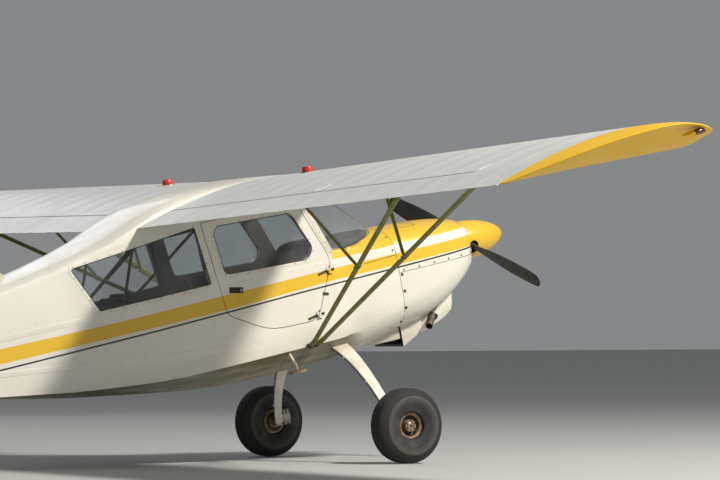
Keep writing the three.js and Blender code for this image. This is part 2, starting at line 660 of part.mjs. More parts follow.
// Engine: one plain block with its shaft to the propeller's flange
function engineBlock() {
  const crankcase = box([760, 1250], [-130, 130], [-170, 110]);
  const cylinders = box([840, 1180], [-325, 325], [-110, 40]);
  const mount = box([FIREWALL + TOUCH, 770], [-150, 150], [-150, 60]);
  const shaft = rod([1240, 0, 0], [SPINNER_BACK - 4, 0, 0], 40, { sides: 20, near: [0, 1, 0] });
  return join(crankcase, cylinders, mount, shaft);
}

// Propeller: rows are part of the radius, chord, thickness and pitch angle in degrees
const BLADE = [
  [0.05, 72, 62, 62],
  [0.13, 86, 50, 52],
  [0.24, 118, 34, 42],
  [0.4, 142, 24, 31],
  [0.6, 146, 17, 23],
  [0.8, 132, 12, 18],
  [0.93, 112, 9, 15],
  [1, 84, 7, 14],
];
function propellerBlades() {
  const blade = (turn) => {
    const rings = BLADE.map(([part, chord, thick, pitch]) => {
      const reach = part * PROPELLER_RADIUS;
      const lean = THREE.MathUtils.degToRad(pitch);
      const section = [[0.5, 0], [0.36, 0.34], [0.12, 0.5], [-0.16, 0.42], [-0.4, 0.18], [-0.5, 0],
        [-0.38, -0.14], [-0.1, -0.26], [0.2, -0.28], [0.4, -0.18]];
      return section.map(([along, over]) => {
        const c = along * chord;
        const t = over * thick;
        const across = c * Math.cos(lean) - t * Math.sin(lean);
        const ahead = c * Math.sin(lean) + t * Math.cos(lean);
        return [
          PROPELLER_X + ahead,
          -reach * Math.sin(turn) - across * Math.cos(turn),
          reach * Math.cos(turn) - across * Math.sin(turn),
        ];
      });
    });
    return loft(rings);
  };
  const hub = turned([[SPINNER_BACK - 4 + TOUCH, 0], [SPINNER_BACK - 4 + TOUCH, 66], [PROPELLER_X + 42, 66],
    [PROPELLER_X + 42, 0]], [0, 0, 0], [1, 0, 0], 24);
  return join(hub, blade(PROPELLER_ANGLE), blade(PROPELLER_ANGLE + Math.PI));
}

// Spinner: a thin bulbous cone on a back plate, with an opening for each blade
const SPINNER_WALL = 4;
function spinnerProfile(shrink) {
  const length = SPINNER_TIP - SPINNER_BACK;
  return Array.from({ length: 8 }, (_, step) => {
    const part = (step / 7) ** 0.9;
    const radius = (SPINNER_RADIUS - shrink) * (1 - part ** 2.1) ** 0.62;
    return [SPINNER_BACK + (length - shrink) * part, radius];
  });
}
function spinner() {
  const outer = turned([[SPINNER_BACK, 0], ...spinnerProfile(0)], [0, 0, 0], [1, 0, 0], 26);
  const inner = turned([[SPINNER_BACK + SPINNER_WALL, 0], ...spinnerProfile(SPINNER_WALL).map(([x, r]) => [x + SPINNER_WALL * 0.5, r])],
    [0, 0, 0], [1, 0, 0], 26);
  const hubHole = rod([SPINNER_BACK - 20, 0, 0], [SPINNER_BACK + 20, 0, 0], 67, { sides: 24, near: [0, 1, 0] });
  const bladeHole = (turn) => {
    const out = (reach) => [PROPELLER_X, -reach * Math.sin(turn), reach * Math.cos(turn)];
    return rod(out(90), out(260), 52, { sides: 14, width: 46, near: [1, 0, 0] });
  };
  return cut(outer, inner, hubHole, bladeHole(PROPELLER_ANGLE), bladeHole(PROPELLER_ANGLE + Math.PI));
}

// Main gear leg, left side: a leaf spring that leaves the belly and narrows towards its axle.
// Rows: x, y, z of the middle, width and thickness
const LEG = [
  [-5, 330, -520, 150, 26],
  [0, 420, -570, 142, 25],
  [8, 540, -664, 126, 24],
  [18, 660, -792, 108, 23],
  [28, 752, -920, 94, 22],
  [36, 806, -1030, 84, 21],
  [MAIN_AXLE.x, 836, -1112, 80, 20],
  [MAIN_AXLE.x, 848, -1185, 78, 20],
];
const AXLE_RADIUS = 16;
const HUB_BORE = 16.8;
const WHEEL_INNER_FACE = 62;
function gearLegLeft(hull) {
  const rings = LEG.map(([x, y, z, wide, thick], index) => {
    const before = LEG[Math.max(index - 1, 0)];
    const after = LEG[Math.min(index + 1, LEG.length - 1)];
    const tangent = new THREE.Vector2(after[1] - before[1], after[2] - before[2]).normalize();
    const normal = [-tangent.y, tangent.x];
    return [[-0.5, 0.5], [0.5, 0.5], [0.5, -0.5], [-0.5, -0.5]].map(([a, b]) => [x + a * wide, y + b * thick * normal[0], z + b * thick * normal[1]]);
  });
  const leg = cut(loft(rings), ...hull.flatMap((body) => [moved(body, [0, 0, -TOUCH]), moved(body, [0, TOUCH, 0])]));
  const inner = HALF_TRACK - WHEEL_INNER_FACE;
  const axle = rod([MAIN_AXLE.x, 836, MAIN_AXLE.z], [MAIN_AXLE.x, HALF_TRACK + 92, MAIN_AXLE.z], AXLE_RADIUS, { sides: 20 });
  const collar = rod([MAIN_AXLE.x, 836, MAIN_AXLE.z], [MAIN_AXLE.x, inner - CLEAR - 26, MAIN_AXLE.z], 34, { sides: 16 });
  const caliper = box([MAIN_AXLE.x - 112, MAIN_AXLE.x - 50], [858, inner - 33], [MAIN_AXLE.z - 30, MAIN_AXLE.z + 50]);
  const arm = box([MAIN_AXLE.x - 104, MAIN_AXLE.x], [842, 862], [MAIN_AXLE.z - 8, MAIN_AXLE.z + 40]);
  return join(leg, axle, collar, caliper, arm);
}

// Wheels: hub with brake disc, and tyre. Profiles are distance out along the axle and radius.
const RIM_RADIUS = 80;
const BEAD = 46;
const WHEEL_SIDES = 28;
function hubLeft() {
  const y = HALF_TRACK;
  const inner = -WHEEL_INNER_FACE;
  const disc = inner - 26;
  const profile = [
    [disc, HUB_BORE], [disc, 90], [disc + 6, 90], [disc + 6, 52], [inner, 52], [inner + 5, 96],
    [-BEAD - 1.4, 96], [-BEAD - 1.4, RIM_RADIUS], [BEAD + 1.4, RIM_RADIUS], [BEAD + 1.4, 96], [BEAD + 12, 96],
    [38, 66], [34, 34], [84, 30], [84, HUB_BORE], [disc, HUB_BORE],
  ];
  return turned(profile, [MAIN_AXLE.x, y, MAIN_AXLE.z], [0, 1, 0], WHEEL_SIDES);
}
function tyreLeft() {
  const half = TYRE_WIDTH / 2;
  const seat = RIM_RADIUS + TOUCH + 0.1;
  const bead = BEAD;
  const profile = [
    [-bead, seat], [bead, seat], [bead + 1, 98], [half - 22, 108], [half - 6, 140], [half, 178], [half - 5, 216],
    [half - 22, 248], [half - 50, 267], [half - 80, 275], [0, TYRE_RADIUS], [-(half - 80), 275], [-(half - 50), 267],
    [-(half - 22), 248], [-(half - 5), 216], [-half, 178], [-(half - 6), 140], [-(half - 22), 108], [-bead - 1, 98],
    [-bead, seat],
  ];
  return turned(profile, [MAIN_AXLE.x, HALF_TRACK, MAIN_AXLE.z], [0, 1, 0], WHEEL_SIDES);
}

// Lift struts and jury struts of the left side
const wingUnder = (aft, out) => wingPoint(aft / CHORD, skinHeight(aft / CHORD, -1) * CHORD, out);
const STRUT_HALF_DEPTH = 17;
const STRUT_HALF_WIDTH = 42;
function strutEnds(aft, gapAtFoot) {
  const foot = [STRUT_FOOT.x + gapAtFoot, STRUT_FOOT.y + 26, STRUT_FOOT.z];
  return [foot, wingUnder(aft, STRUT_TOP_Y)];
}
function liftStrut(aft, gapAtFoot, wing) {
  const [foot, top] = strutEnds(aft, gapAtFoot);
  const past = top.map((value, axis) => value + (value - foot[axis]) * 0.012);
  const near = foot.map((value, axis) => value + (top[axis] - value) * 0.03);
  const taper = rod(foot, near, 12, { sides: 12, width: 15 });
  const spar = rod(near, past, STRUT_HALF_DEPTH, { sides: 12, width: STRUT_HALF_WIDTH });
  const lug = join(
    rod(top.map((value, axis) => value - (value - foot[axis]) * 0.03), [top[0], top[1], top[2] + 8], 13, { sides: 12, width: 30 }),
  );
  return cut(join(taper, spar, lug), moved(wing, [0, 0, -TOUCH]));
}
function onStrut(aft, gapAtFoot, out) {
  const [foot, top] = strutEnds(aft, gapAtFoot);
  const part = (out - foot[1]) / (top[1] - foot[1]);
  return foot.map((value, axis) => value + (top[axis] - value) * part);
}
function juryStruts(wing, struts) {
  const front = onStrut(FRONT_SPAR, 26, JURY_Y);
  const rear = onStrut(REAR_SPAR, -26, JURY_Y);
  const frontTop = wingUnder(FRONT_SPAR, JURY_Y);
  const rearTop = wingUnder(REAR_SPAR, JURY_Y);
  const over = ([x, y, z]) => [x, y, z + 12];
  const posts = [rod(front, over(frontTop), 8, { sides: 8, width: 12 }), rod(rear, over(rearTop), 8, { sides: 8, width: 12 })];
  const brace = rod([front[0], front[1], front[2] + 40], [rearTop[0], rearTop[1], rearTop[2] - 20], 7, { sides: 6 });
  const whole = join(...posts, brace);
  const gaps = struts.flatMap((strut) => [moved(strut, [0, 0, TOUCH]), moved(strut, [0, 0, -TOUCH])]);
  return cut(whole, moved(wing, [0, 0, -TOUCH]), ...gaps);
}
// Fitting on the lower longeron that both struts end in
function strutFitting() {
  const { x, y, z } = STRUT_FOOT;
  return box([x - 48, x + 48], [CABIN_HALF_WIDTH + TOUCH, y + 34], [z - 12, z + 22]);
}

// Tail surfaces: flat frames with rounded edges. Outlines are x and z, or x and y.
const FIN = [[-4170, 262], [-4330, 500], [-4440, 760], [-4500, 930, 90], [-4600, 1085, 60], [-4638, 1100], [-4638, 226]];
const RUDDER = [[-4662, -24], [-4662, 1124, 10], [-4720, 1176, 30], [-4830, 1196, 60], [-4960, 1150, 80], [-5060, 1000, 120],
  [-5118, 760, 160], [-5128, 520, 160], [-5080, 300, 140], [-4980, 120, 100], [-4880, 20, 90], [-4760, -36, 60]];
const TAILPLANE = [[-4540, 52], [-3990, 112], [-4030, 300, 60], [-4160, 760, 160], [-4290, 1180, 160], [-4400, 1440, 120],
  [-4500, 1545, 60], [-4539, 1548]];
const ELEVATOR = [[-4560, 70], [-4560, 1548, 6], [-4640, 1520, 60], [-4800, 1400, 120], [-4930, 1150, 160], [-4985, 800, 160],
  [-4990, 480, 120], [-4950, 320, 60], [-4760, 200, 60]];

// A flat panel whose edges are bevelled on both faces
const PANEL_BEVEL = 7;
function panel(outline, half, lay) {
  const full = thinned(rounded(outline, 30, 2));
  const face = inset(full, PANEL_BEVEL);
  const rings = [lay(face, -half), lay(full, -half * 0.4), lay(full, half * 0.4), lay(face, half)];
  return loft(rings, 'ear', false, rings[1]);
}
const panelXZ = (outline, half) => panel(outline, half, inXZ);
const panelXY = (outline, height, half) => panel(outline, half, (flat, z) => inXY(flat, height + z));

function tailSurfaces(rearFuselage) {
  const finBlank = panelXZ(FIN, TAIL_HALF_THICKNESS);
  const rudderNose = rod([RUDDER_HINGE_X, 0, -24], [RUDDER_HINGE_X, 0, 1124], TAIL_HALF_THICKNESS, { sides: 16, near: [1, 0, 0] });
  const rudderPlaces = [60, 420, 1010];
  const rudderAxis = [0, 0, 1];
  const rudderPoint = (z) => [RUDDER_HINGE_X, 0, z];
  const rudderRooms = rudderPlaces.map((z) => bracketRoom(rudderPoint(z), rudderAxis, [1, 0, 0], TAIL_HALF_THICKNESS + 2, 40));
  const rudder = cut(join(panelXZ(RUDDER, TAIL_HALF_THICKNESS), rudderNose), ...rudderRooms);
  const reach = -4638 - RUDDER_HINGE_X + 6;
  const postBracket = bracket(rudderPoint(60), rudderAxis, [1, 0, 0], TAIL_POST - RUDDER_HINGE_X + 6);
  const finBrackets = rudderPlaces.slice(1).map((z) => bracket(rudderPoint(z), rudderAxis, [1, 0, 0], reach));
  const fin = join(cut(finBlank, moved(rearFuselage, [0, 0, TOUCH])), ...finBrackets);

  const elevatorAxis = [0, 1, 0];
  const elevatorPoint = (y) => [ELEVATOR_HINGE.x, y, ELEVATOR_HINGE.z];
  const nose = rod(elevatorPoint(70), elevatorPoint(1540), TAIL_HALF_THICKNESS, { sides: 16 });
  const places = [230, 1180];
  const rooms = places.map((y) => bracketRoom(elevatorPoint(y), elevatorAxis, [1, 0, 0], TAIL_HALF_THICKNESS + 2, 40));
  const elevatorLeft = cut(join(panelXY(ELEVATOR, ELEVATOR_HINGE.z, TAIL_HALF_THICKNESS), nose), ...rooms);
  const holders = places.map((y) => bracket(elevatorPoint(y), elevatorAxis, [1, 0, 0], TAIL_HALF_THICKNESS + CLEAR));
  const gapFace = box([ELEVATOR_HINGE.x - 5, ELEVATOR_HINGE.x + TAIL_HALF_THICKNESS + CLEAR], [0, 1700], [0, 400]);
  const planeBlank = cut(panelXY(TAILPLANE, ELEVATOR_HINGE.z, TAIL_HALF_THICKNESS), gapFace);
  const plane = cut(join(planeBlank, ...holders), moved(rearFuselage, [0, TOUCH, 0]));
  const tube = rod(elevatorPoint(-80), elevatorPoint(80), 11, { sides: 12 });
  return { fin, rudder, postBracket, elevatorLeft, plane, tube };
}

// Stays between fin, tailplane and tail post, one pair above and one below on each side
const STAY_RADIUS = 4;
function tailStays(level) {
  const foot = level > 0 ? [-4560, TAIL_HALF_THICKNESS + 3, 830] : [-4560, 30, -56];
  const ends = [[-4240, 760], [-4500, 900]].map(([x, y]) => [x, y, ELEVATOR_HINGE.z + level * (TAIL_HALF_THICKNESS + 1.5)]);
  return join(...ends.map((end) => rod(foot, end, STAY_RADIUS, { sides: 6 })));
}

// Tail spring and the swivelling tailwheel
const SPRING = [[-4210, -66], [-4420, -82], [-4640, -108], [-4795, -136]];
function tailSpring(rearFuselage) {
  const thick = 22;
  const ring = SPRING.map(([x, z]) => [x, z]);
  const outline = [...ring.map(([x, z]) => [x, z]), ...ring.slice().reverse().map(([x, z]) => [x - 1, z - thick])];
  const leaf = acrossY(outline, -26, 26);
  const clamp = box([-4330, -4230], [-34, 34], [-96, -40]);
  return cut(join(leaf, clamp), moved(rearFuselage, [0, 0, -TOUCH]));
}

const PITCH = (() => {
  const along = MAIN_AXLE.x - TAIL_AXLE.x;
  const rise = MAIN_AXLE.z - TAIL_AXLE.z;
  return Math.asin((TYRE_RADIUS - TAILWHEEL_RADIUS) / Math.hypot(along, rise)) - Math.atan2(rise, along);
})();
// The direction that is upright once the aircraft stands on its wheels
const UPRIGHT = [Math.sin(PITCH), 0, Math.cos(PITCH)];
const LEVEL_AFT = [-Math.cos(PITCH), 0, Math.sin(PITCH)];
const SWIVEL = { ahead: 62 };
const fromTailAxle = (aft, side, up) => [0, 1, 2].map((i) => [TAIL_AXLE.x, 0, TAIL_AXLE.z][i]
  + aft * LEVEL_AFT[i] + side * [0, 1, 0][i] + up * UPRIGHT[i]);

function tailwheelPieces() {
  const swivel = (up) => fromTailAxle(-SWIVEL.ahead, 0, up);
  const head = rod(swivel(118), swivel(136), 26, { sides: 20, near: [0, 1, 0] });
  const socket = rod(swivel(124), swivel(160), 9.8, { sides: 20, near: [0, 1, 0] });
  const crown = loft([[112, -1], [124, 1]].map(([up]) => [[-86, -44], [-86, 44], [24, 44], [24, -44]].map(([a, s]) => fromTailAxle(a, s, up))), 'ear');
  const arm = (sign) => loft([36, 44].map((side) => [[-16, -16], [16, -16], [16, 60], [-10, 114], [-70, 114], [-40, 50]]
    .map(([a, up]) => fromTailAxle(a, sign * side, up))), 'ear');
  const axle = rod(fromTailAxle(0, -40, 0), fromTailAxle(0, 40, 0), 7, { sides: 16, near: [1, 0, 0] });
  const fork = cut(join(head, crown, arm(1), arm(-1), axle), socket);
  const profile = [[-22, 7.7], [22, 7.7], [22, 46], [30, 78], [24, 98], [8, TAILWHEEL_RADIUS],
    [-8, TAILWHEEL_RADIUS], [-24, 98], [-30, 78], [-22, 46], [-22, 7.7]];
  const wheel = turned(profile, [TAIL_AXLE.x, 0, TAIL_AXLE.z], [0, 1, 0], 32);
  const kingpin = rod(swivel(125), swivel(176), 9, { sides: 20, near: [0, 1, 0] });
  return { fork, wheel, kingpin };
}

// Cabin fittings
function seat(x, floor, tilt) {
  const base = floor + 170;
  const back = (a, u, r) => [x - a, base + u, r];
  const cushion = acrossY(rounded([[x + 210, base], [x + 210, base + 62], [x - 215, base + 52], [x - 215, base]], 20), -215, 215);
  const lean = Math.tan(THREE.MathUtils.degToRad(tilt));
  const backrest = acrossY(rounded([back(180, 20, 4), back(200 + 500 * lean, 520), back(258 + 500 * lean, 520), back(252, 20, 4)], 22), -205, 205);
  const legs = [[x + 190, 180], [x - 200, 180], [x + 190, -180], [x - 200, -180]]
    .map(([lx, ly]) => rod([lx, ly, floor + TOUCH], [lx, ly, base - 8], 11, { sides: 8 }));
  const tray = box([x - 270, x + 208], [-200, 200], [base - 18, base - TOUCH]);
  const rail = [190, -190].map((ly) => rod([x - 262, ly, base - 10], [x - 284 - 480 * lean, ly, base + 470], 10, { sides: 8, near: [0, 1, 0] }));
  const cross = rod([x - 284 - 480 * lean, -196, base + 466], [x - 284 - 480 * lean, 196, base + 466], 10, { sides: 8 });
  const cushions = join(cushion, backrest);
  return { cushions, frame: cut(join(tray, ...legs, ...rail, cross), moved(cushions, [-TOUCH, 0, 0])) };
}
const FLOOR_TOP = -473;

function controlSticks() {
  const tube = rod([30, 0, FLOOR_TOP + 46], [-1010, 0, FLOOR_TOP + 46], 14, { sides: 12, near: [0, 1, 0] });
  const stick = (x) => join(
    rod([x, 0, FLOOR_TOP + 40], [x + 40, 0, FLOOR_TOP + 470], 11, { sides: 12 }),
    rod([x + 37, 0, FLOOR_TOP + 440], [x + 50, 0, FLOOR_TOP + 560], 19, { sides: 12, endScale: 0.8 }),
  );
  const blocks = [0, -960].map((x) => box([x - 20, x + 20], [-30, 30], [FLOOR_TOP + TOUCH, FLOOR_TOP + 50]));
  return join(tube, stick(-70), stick(-965), ...blocks);
}

function instrumentPanel() {
  const face = [[-352, -60], [352, -60], [372, 60], [366, 178], [300, 236], [160, 252], [-160, 252], [-300, 236], [-366, 178], [-372, 60]];
  return alongX(face, 150, 168);
}

// Tubes of the cabin's frame, seen through the glass
function cabinFrame() {
  const r = 11;
  const y = CABIN_HALF_WIDTH - WALL - r - TOUCH;
  const tubes = [];
  const sides = 6;
  for (const side of [1, -1]) {
    tubes.push(rod([-1045, side * y, 560], [-985, side * y, -440], r, { sides }));
    tubes.push(rod([-1045, side * y, 560], [-1730, side * (y - 18), 110], r, { sides }));
    tubes.push(rod([-1730, side * (y - 18), 110], [-1560, side * (y - 12), 545], r, { sides }));
    tubes.push(rod([-1045, side * y, 560], [-1560, side * (y - 12), 545], r, { sides }));
    tubes.push(rod([-985, side * y, -440], [-1730, side * (y - 18), 110], r, { sides }));
  }
  tubes.push(rod([-1045, -y, 560], [-1045, y, 560], r, { sides }));
  tubes.push(rod([-1560, -y + 12, 545], [-1560, y - 12, 545], r, { sides }));
  tubes.push(rod([-1730, -y + 18, 110], [-1730, y - 18, 110], r, { sides }));
  tubes.push(rod([-1560, -y + 12, 545], [-1730, y - 18, 110], r, { sides }));
  return join(...tubes);
}

// Step under the door: a pad on a bent tube that leaves the belly
const STEP_PAD = { x: [-512, -392], y: [-470, -398], z: [-630, -614] };
const STEP_TUBE = [[-470, -392, -486], [-452, -432, -578], [-452, -432, -616]];
function footStep(belly) {
  const tube = STEP_TUBE.slice(1).map((point, index) => rod(STEP_TUBE[index], point, 11, { sides: 12 }));
  const clear = cut(join(...tube), moved(belly, [0, 0, -TOUCH]), moved(belly, [0, -TOUCH, 0]));
  return join(clear, box(STEP_PAD.x, STEP_PAD.y, STEP_PAD.z));
}

// Fuel cap on the wing, blade aerial on the spine
function fuelCap(wing) {
  const base = wingPoint(430 / CHORD, skinHeight(430 / CHORD, 1) * CHORD, 1045);
  const cap = turned([[-14, 0], [-14, 40], [30, 40], [40, 33], [40, 0]], base, [0, 0, 1], 24);
  return cut(cap, moved(wing, [0, 0, TOUCH]));
}
function bladeAerial(rearFuselage) {
  const outline = [[-2420, 480], [-2640, 440], [-2650, 640], [-2600, 660]];
  return cut(acrossY(outline, -7, 7), moved(rearFuselage, [0, 0, TOUCH]));
}

// Assembly

const aircraft = new THREE.Group();
const level = new THREE.Group();
aircraft.add(level);

function place(parent, name, solid, finish, pivot = [0, 0, 0]) {
  const mesh = new THREE.Mesh(meshOf(mainBody(solid)), material(finish));
  mesh.name = name;
  mesh.geometry.translate(-pivot[0], -pivot[1], -pivot[2]);
  parent.add(mesh);
  return mesh;
}

// A group that turns about an axis through its pivot
function hinged(name, pivot, axis, parent = level, base = [0, 0, 0]) {
  const group = new THREE.Group();
  group.name = name;
  group.position.set(pivot[0] - base[0], pivot[1] - base[1], pivot[2] - base[2]);
  group.userData.axis = axis;
  parent.add(group);
  return (nodeName, solid, finish) => place(group, nodeName, solid, finish, pivot);
}
const flipAxis = ([x, y, z]) => [x, -y, z];

// Cabin
const shell = cabinShell();
const walls = sideWalls(shell);
const doorHole = outward(-1, doorOutline, 300, 450);
const rearHole = (sign) => outward(sign, rearWindowOutline);
const frontHole = (sign) => outward(sign, doorWindowOutline);

const hingeLine = DOOR_HINGE_LOW.map((value, axis) => value - DOOR_HINGE_TOP[axis]);
const hingeUnit = new THREE.Vector3(...hingeLine).normalize().toArray();
const [doorAft] = squareTo(hingeUnit, [-1, 0, 0]);
const KNUCKLE = { half: 15, radius: 8.5, lug: 9 };
function knuckle(point, part) {
  const on = (s, aft, inn) => [0, 1, 2].map((i) => point[i] + s * hingeUnit[i] + aft * doorAft.getComponent(i) + inn * [0, 1, 0][i]);
  const barrel = (from, to, radius, sides = 16) => rod(on(from, 0, 0), on(to, 0, 0), radius, { sides, near: [0, 1, 0] });
  const arm = (from, to, aft) => loft([from, to].map((s) => [on(s, 0, -5), on(s, aft, 9), on(s, aft, 26), on(s, 0, 8)]), 'ear');
  const { half, radius, lug } = KNUCKLE;
  if (part === 'door') {
    return cut(join(barrel(-half, half, radius), arm(-half, half, 26)), barrel(-half - 1, half + 1, PIN_HOLE_RADIUS));
  }
  const lugs = [1, -1].flatMap((sign) => {
    const from = sign * (half + 0.8);
    const to = sign * (half + 0.8 + lug);
    return [barrel(Math.min(from, to), Math.max(from, to), radius), arm(Math.min(from, to), Math.max(from, to), -36)];
  });
  return join(...lugs, barrel(-half - 6, half + 6, PIN_RADIUS, 12));
}
const hingePoints = [0.04, 0.96].map((part) => DOOR_HINGE_TOP.map((value, axis) => value + hingeLine[axis] * part));

// Room in the wall for the door's knuckle, and in the door for the wall's two lugs
function knuckleRoom(point, from, to, aftFrom, aftTo) {
  const on = (s, aft, inn) => [0, 1, 2].map((i) => point[i] + s * hingeUnit[i] + aft * doorAft.getComponent(i) + inn * [0, 1, 0][i]);
  return loft([from, to].map((s) => [on(s, aftFrom, -20), on(s, aftTo, -20), on(s, aftTo, 60), on(s, aftFrom, 60)]), 'ear');
}
const wallRooms = hingePoints.map((point) => knuckleRoom(point, -21, 21, -17, 60));
const doorRooms = hingePoints.flatMap((point) => [-32, 14.2].map((from) => knuckleRoom(point, from, from + 17.8, -40, 9)));

const doorBlank = keep(walls.right, outward(-1, rounded(inset(DOOR, 5), CORNER), 300, 450));
const door = join(cut(doorBlank, frontHole(-1), ...doorRooms), ...hingePoints.map((point) => knuckle(point, 'door')));
const rightWall = join(
  cut(walls.right, doorHole, rearHole(-1), ...wallRooms),
  ...hingePoints.map((point) => knuckle(point, 'wall')),
);
const leftWall = cut(walls.left, frontHole(1), rearHole(1));

const roof = keep(shell.outside, aboveLine(lowered(ROOF_LINE, -TOUCH)));
const roofFront = across([[-8, 600], [60, 600], [60, 1000], [-8, 1000]]);
const belly = keep(shell.outside, belowLine(lowered(FLOOR_LINE, TOUCH)));
const rearFuselage = bodyLoft(TAIL);

const bootOutside = bodyLoft(BODY);
const bootInside = remade(bodyLoft(BODY.map((row) => [...row.slice(0, 1), row[1] - 20, row[2], row[3] - 20, row[4], row[5] - 14, row[6] + 20, row[7] + 20, row[8]])),
  ([x, y, z]) => [x > 590 ? x + 10 : x < 40 ? x - 40 : x, y, z]);
const firewall = keep(bootOutside, box([FIREWALL - 6, FIREWALL], [-500, 500], [-700, 500]));
const screen = windscreen();
const bootCowl = cut(bootOutside, bootInside, screen);

const near = (solid) => [
  moved(solid, [TOUCH, 0, 0]), moved(solid, [0, TOUCH, 0]), moved(solid, [0, -TOUCH, 0]), moved(solid, [0, 0, TOUCH]),
];
const tail = tailSurfaces(rearFuselage);
const tubeRoom = rod([ELEVATOR_HINGE.x, -200, ELEVATOR_HINGE.z], [ELEVATOR_HINGE.x, 200, ELEVATOR_HINGE.z], 18, { sides: 16 });
const tailEnd = join(cut(rearFuselage, tubeRoom), tail.postBracket);

const wing = wingLeft();
const tip = tipLeft();
const cowl = cowlPieces();
const engine = engineBlock();
const frontStrut = liftStrut(FRONT_SPAR, 26, wing);
const rearStrut = liftStrut(REAR_SPAR, -26, wing);
const jury = juryStruts(wing, [frontStrut, rearStrut]);
const fitting = strutFitting();
const rearWheel = tailwheelPieces();
const clamp = box([-4590, -4530], [-34, 34], [-66, -38]);
const lowerStays = cut(join(tailStays(-1), mirrored(tailStays(-1)), clamp), moved(rearFuselage, [0, 0, -TOUCH]),
  moved(tail.plane, [0, 0, -TOUCH]), moved(mirrored(tail.plane), [0, 0, -TOUCH]));

place(level, 'belly_floor', belly, 'cream');
place(level, 'side_wall_left', leftWall, 'cream');
place(level, 'side_wall_right', rightWall, 'cream');
place(level, 'roof_fairing', cut(roof, roofFront), 'cream');
place(level, 'boot_cowl', join(bootCowl, firewall), 'cream');
place(level, 'rear_fuselage', tailEnd, 'cream');
place(level, 'windscreen', cut(screen, ...near(bootCowl), ...near(roof), ...near(leftWall), ...near(rightWall)), 'glass');
place(level, 'window_rear_left', sidePane(shell.outside, 1, rearWindowOutline), 'glass');
place(level, 'window_rear_right', sidePane(shell.outside, -1, rearWindowOutline), 'glass');
place(level, 'window_front_left', sidePane(shell.outside, 1, doorWindowOutline), 'glass');
place(level, 'engine_cowl_upper', cowl.upper, 'yellow');
place(level, 'engine_cowl_lower', cowl.lower, 'cream');
place(level, 'engine_block', engine, 'steel');
place(level, 'exhaust_pipe', exhaustPipe(engine), 'steel');

const doorPart = hinged('door_hinge', DOOR_HINGE_TOP, hingeUnit.map((value) => -value));
doorPart('door_right', door, 'cream');
doorPart('door_window', sidePane(shell.outside, -1, doorWindowOutline), 'glass');

const propellerPart = hinged('propeller_spin', [PROPELLER_X, 0, 0], [1, 0, 0]);
propellerPart('propeller', propellerBlades(), 'dark');
propellerPart('spinner', spinner(), 'yellow');

for (const [side, sign] of [['left', 1], ['right', -1]]) {
  const own = (solid) => (sign > 0 ? solid : mirrored(solid));
  const ownPoint = ([x, y, z]) => [x, sign * y, z];
  place(level, `wing_${side}`, own(wing), 'wingWhite');
  place(level, `wing_tip_${side}`, own(tip), 'yellow');
  place(level, `lift_struts_${side}`, own(join(frontStrut, rearStrut, fitting)), 'olive');
  place(level, `jury_struts_${side}`, own(jury), 'olive');
  place(level, `gear_leg_${side}`, own(gearLegLeft([belly, bootCowl])), 'cream');
  place(level, `tailplane_${side}`, own(tail.plane), 'cream');
  place(level, `fuel_cap_${side}`, own(fuelCap(wing)), 'red');
  place(level, `tail_stays_upper_${side}`, own(cut(tailStays(1), moved(tail.plane, [0, 0, TOUCH]))), 'steel');

  const flapPart = hinged(`flap_${side}_hinge`, ownPoint(hingeAt(FLAP_SPAN[0])), [0, surfaceAxis[1], sign * surfaceAxis[2]]);
  flapPart(`flap_${side}`, own(surfaceBlank(FLAP_SPAN)), 'wingWhite');
  const aileronPart = hinged(`aileron_${side}_hinge`, ownPoint(hingeAt(AILERON_SPAN[0])), [0, surfaceAxis[1], sign * surfaceAxis[2]]);
  aileronPart(`aileron_${side}`, own(surfaceBlank(AILERON_SPAN)), 'wingWhite');

  const wheelPart = hinged(`wheel_${side}_spin`, [MAIN_AXLE.x, sign * HALF_TRACK, MAIN_AXLE.z], [0, 1, 0]);
  wheelPart(`hub_${side}`, own(hubLeft()), 'rust');
  wheelPart(`tyre_${side}`, own(tyreLeft()), 'rubber');
}

place(level, 'fin', tail.fin, 'cream');
place(level, 'tail_stays_lower', lowerStays, 'steel');
const rudderPart = hinged('rudder_hinge', [RUDDER_HINGE_X, 0, 0], [0, 0, 1]);
rudderPart('rudder', tail.rudder, 'cream');
const elevatorPart = hinged('elevator_hinge', [ELEVATOR_HINGE.x, 0, ELEVATOR_HINGE.z], [0, 1, 0]);
elevatorPart('elevator', join(tail.elevatorLeft, tail.tube, mirrored(tail.elevatorLeft)), 'cream');

place(level, 'tail_spring', join(tailSpring(rearFuselage), rearWheel.kingpin), 'dark');
const swivelPoint = fromTailAxle(-SWIVEL.ahead, 0, 130);
const swivelPart = hinged('tailwheel_swivel', swivelPoint, UPRIGHT);
swivelPart('tailwheel_fork', rearWheel.fork, 'dark');
const tailAxlePoint = [TAIL_AXLE.x, 0, TAIL_AXLE.z];
const tailwheelPart = hinged('tailwheel_spin', tailAxlePoint, [0, 1, 0]);
tailwheelPart('tailwheel', rearWheel.wheel, 'rubber');

const frontSeat = seat(-520, FLOOR_TOP, 12);
const backSeat = seat(-1240, FLOOR_TOP, 10);
place(level, 'front_seat_frame', frontSeat.frame, 'dark');
place(level, 'front_seat_cushions', frontSeat.cushions, 'seat');
place(level, 'rear_seat_frame', backSeat.frame, 'dark');
place(level, 'rear_seat_cushions', backSeat.cushions, 'seat');
place(level, 'control_sticks', controlSticks(), 'dark');
place(level, 'instrument_panel', cut(instrumentPanel(), ...near(bootCowl), moved(bootCowl, [0, 0, -TOUCH])), 'interior');
place(level, 'cabin_frame', cabinFrame(), 'dark');
place(level, 'foot_step', footStep(belly), 'steel');
place(level, 'blade_aerial', bladeAerial(rearFuselage), 'cream');

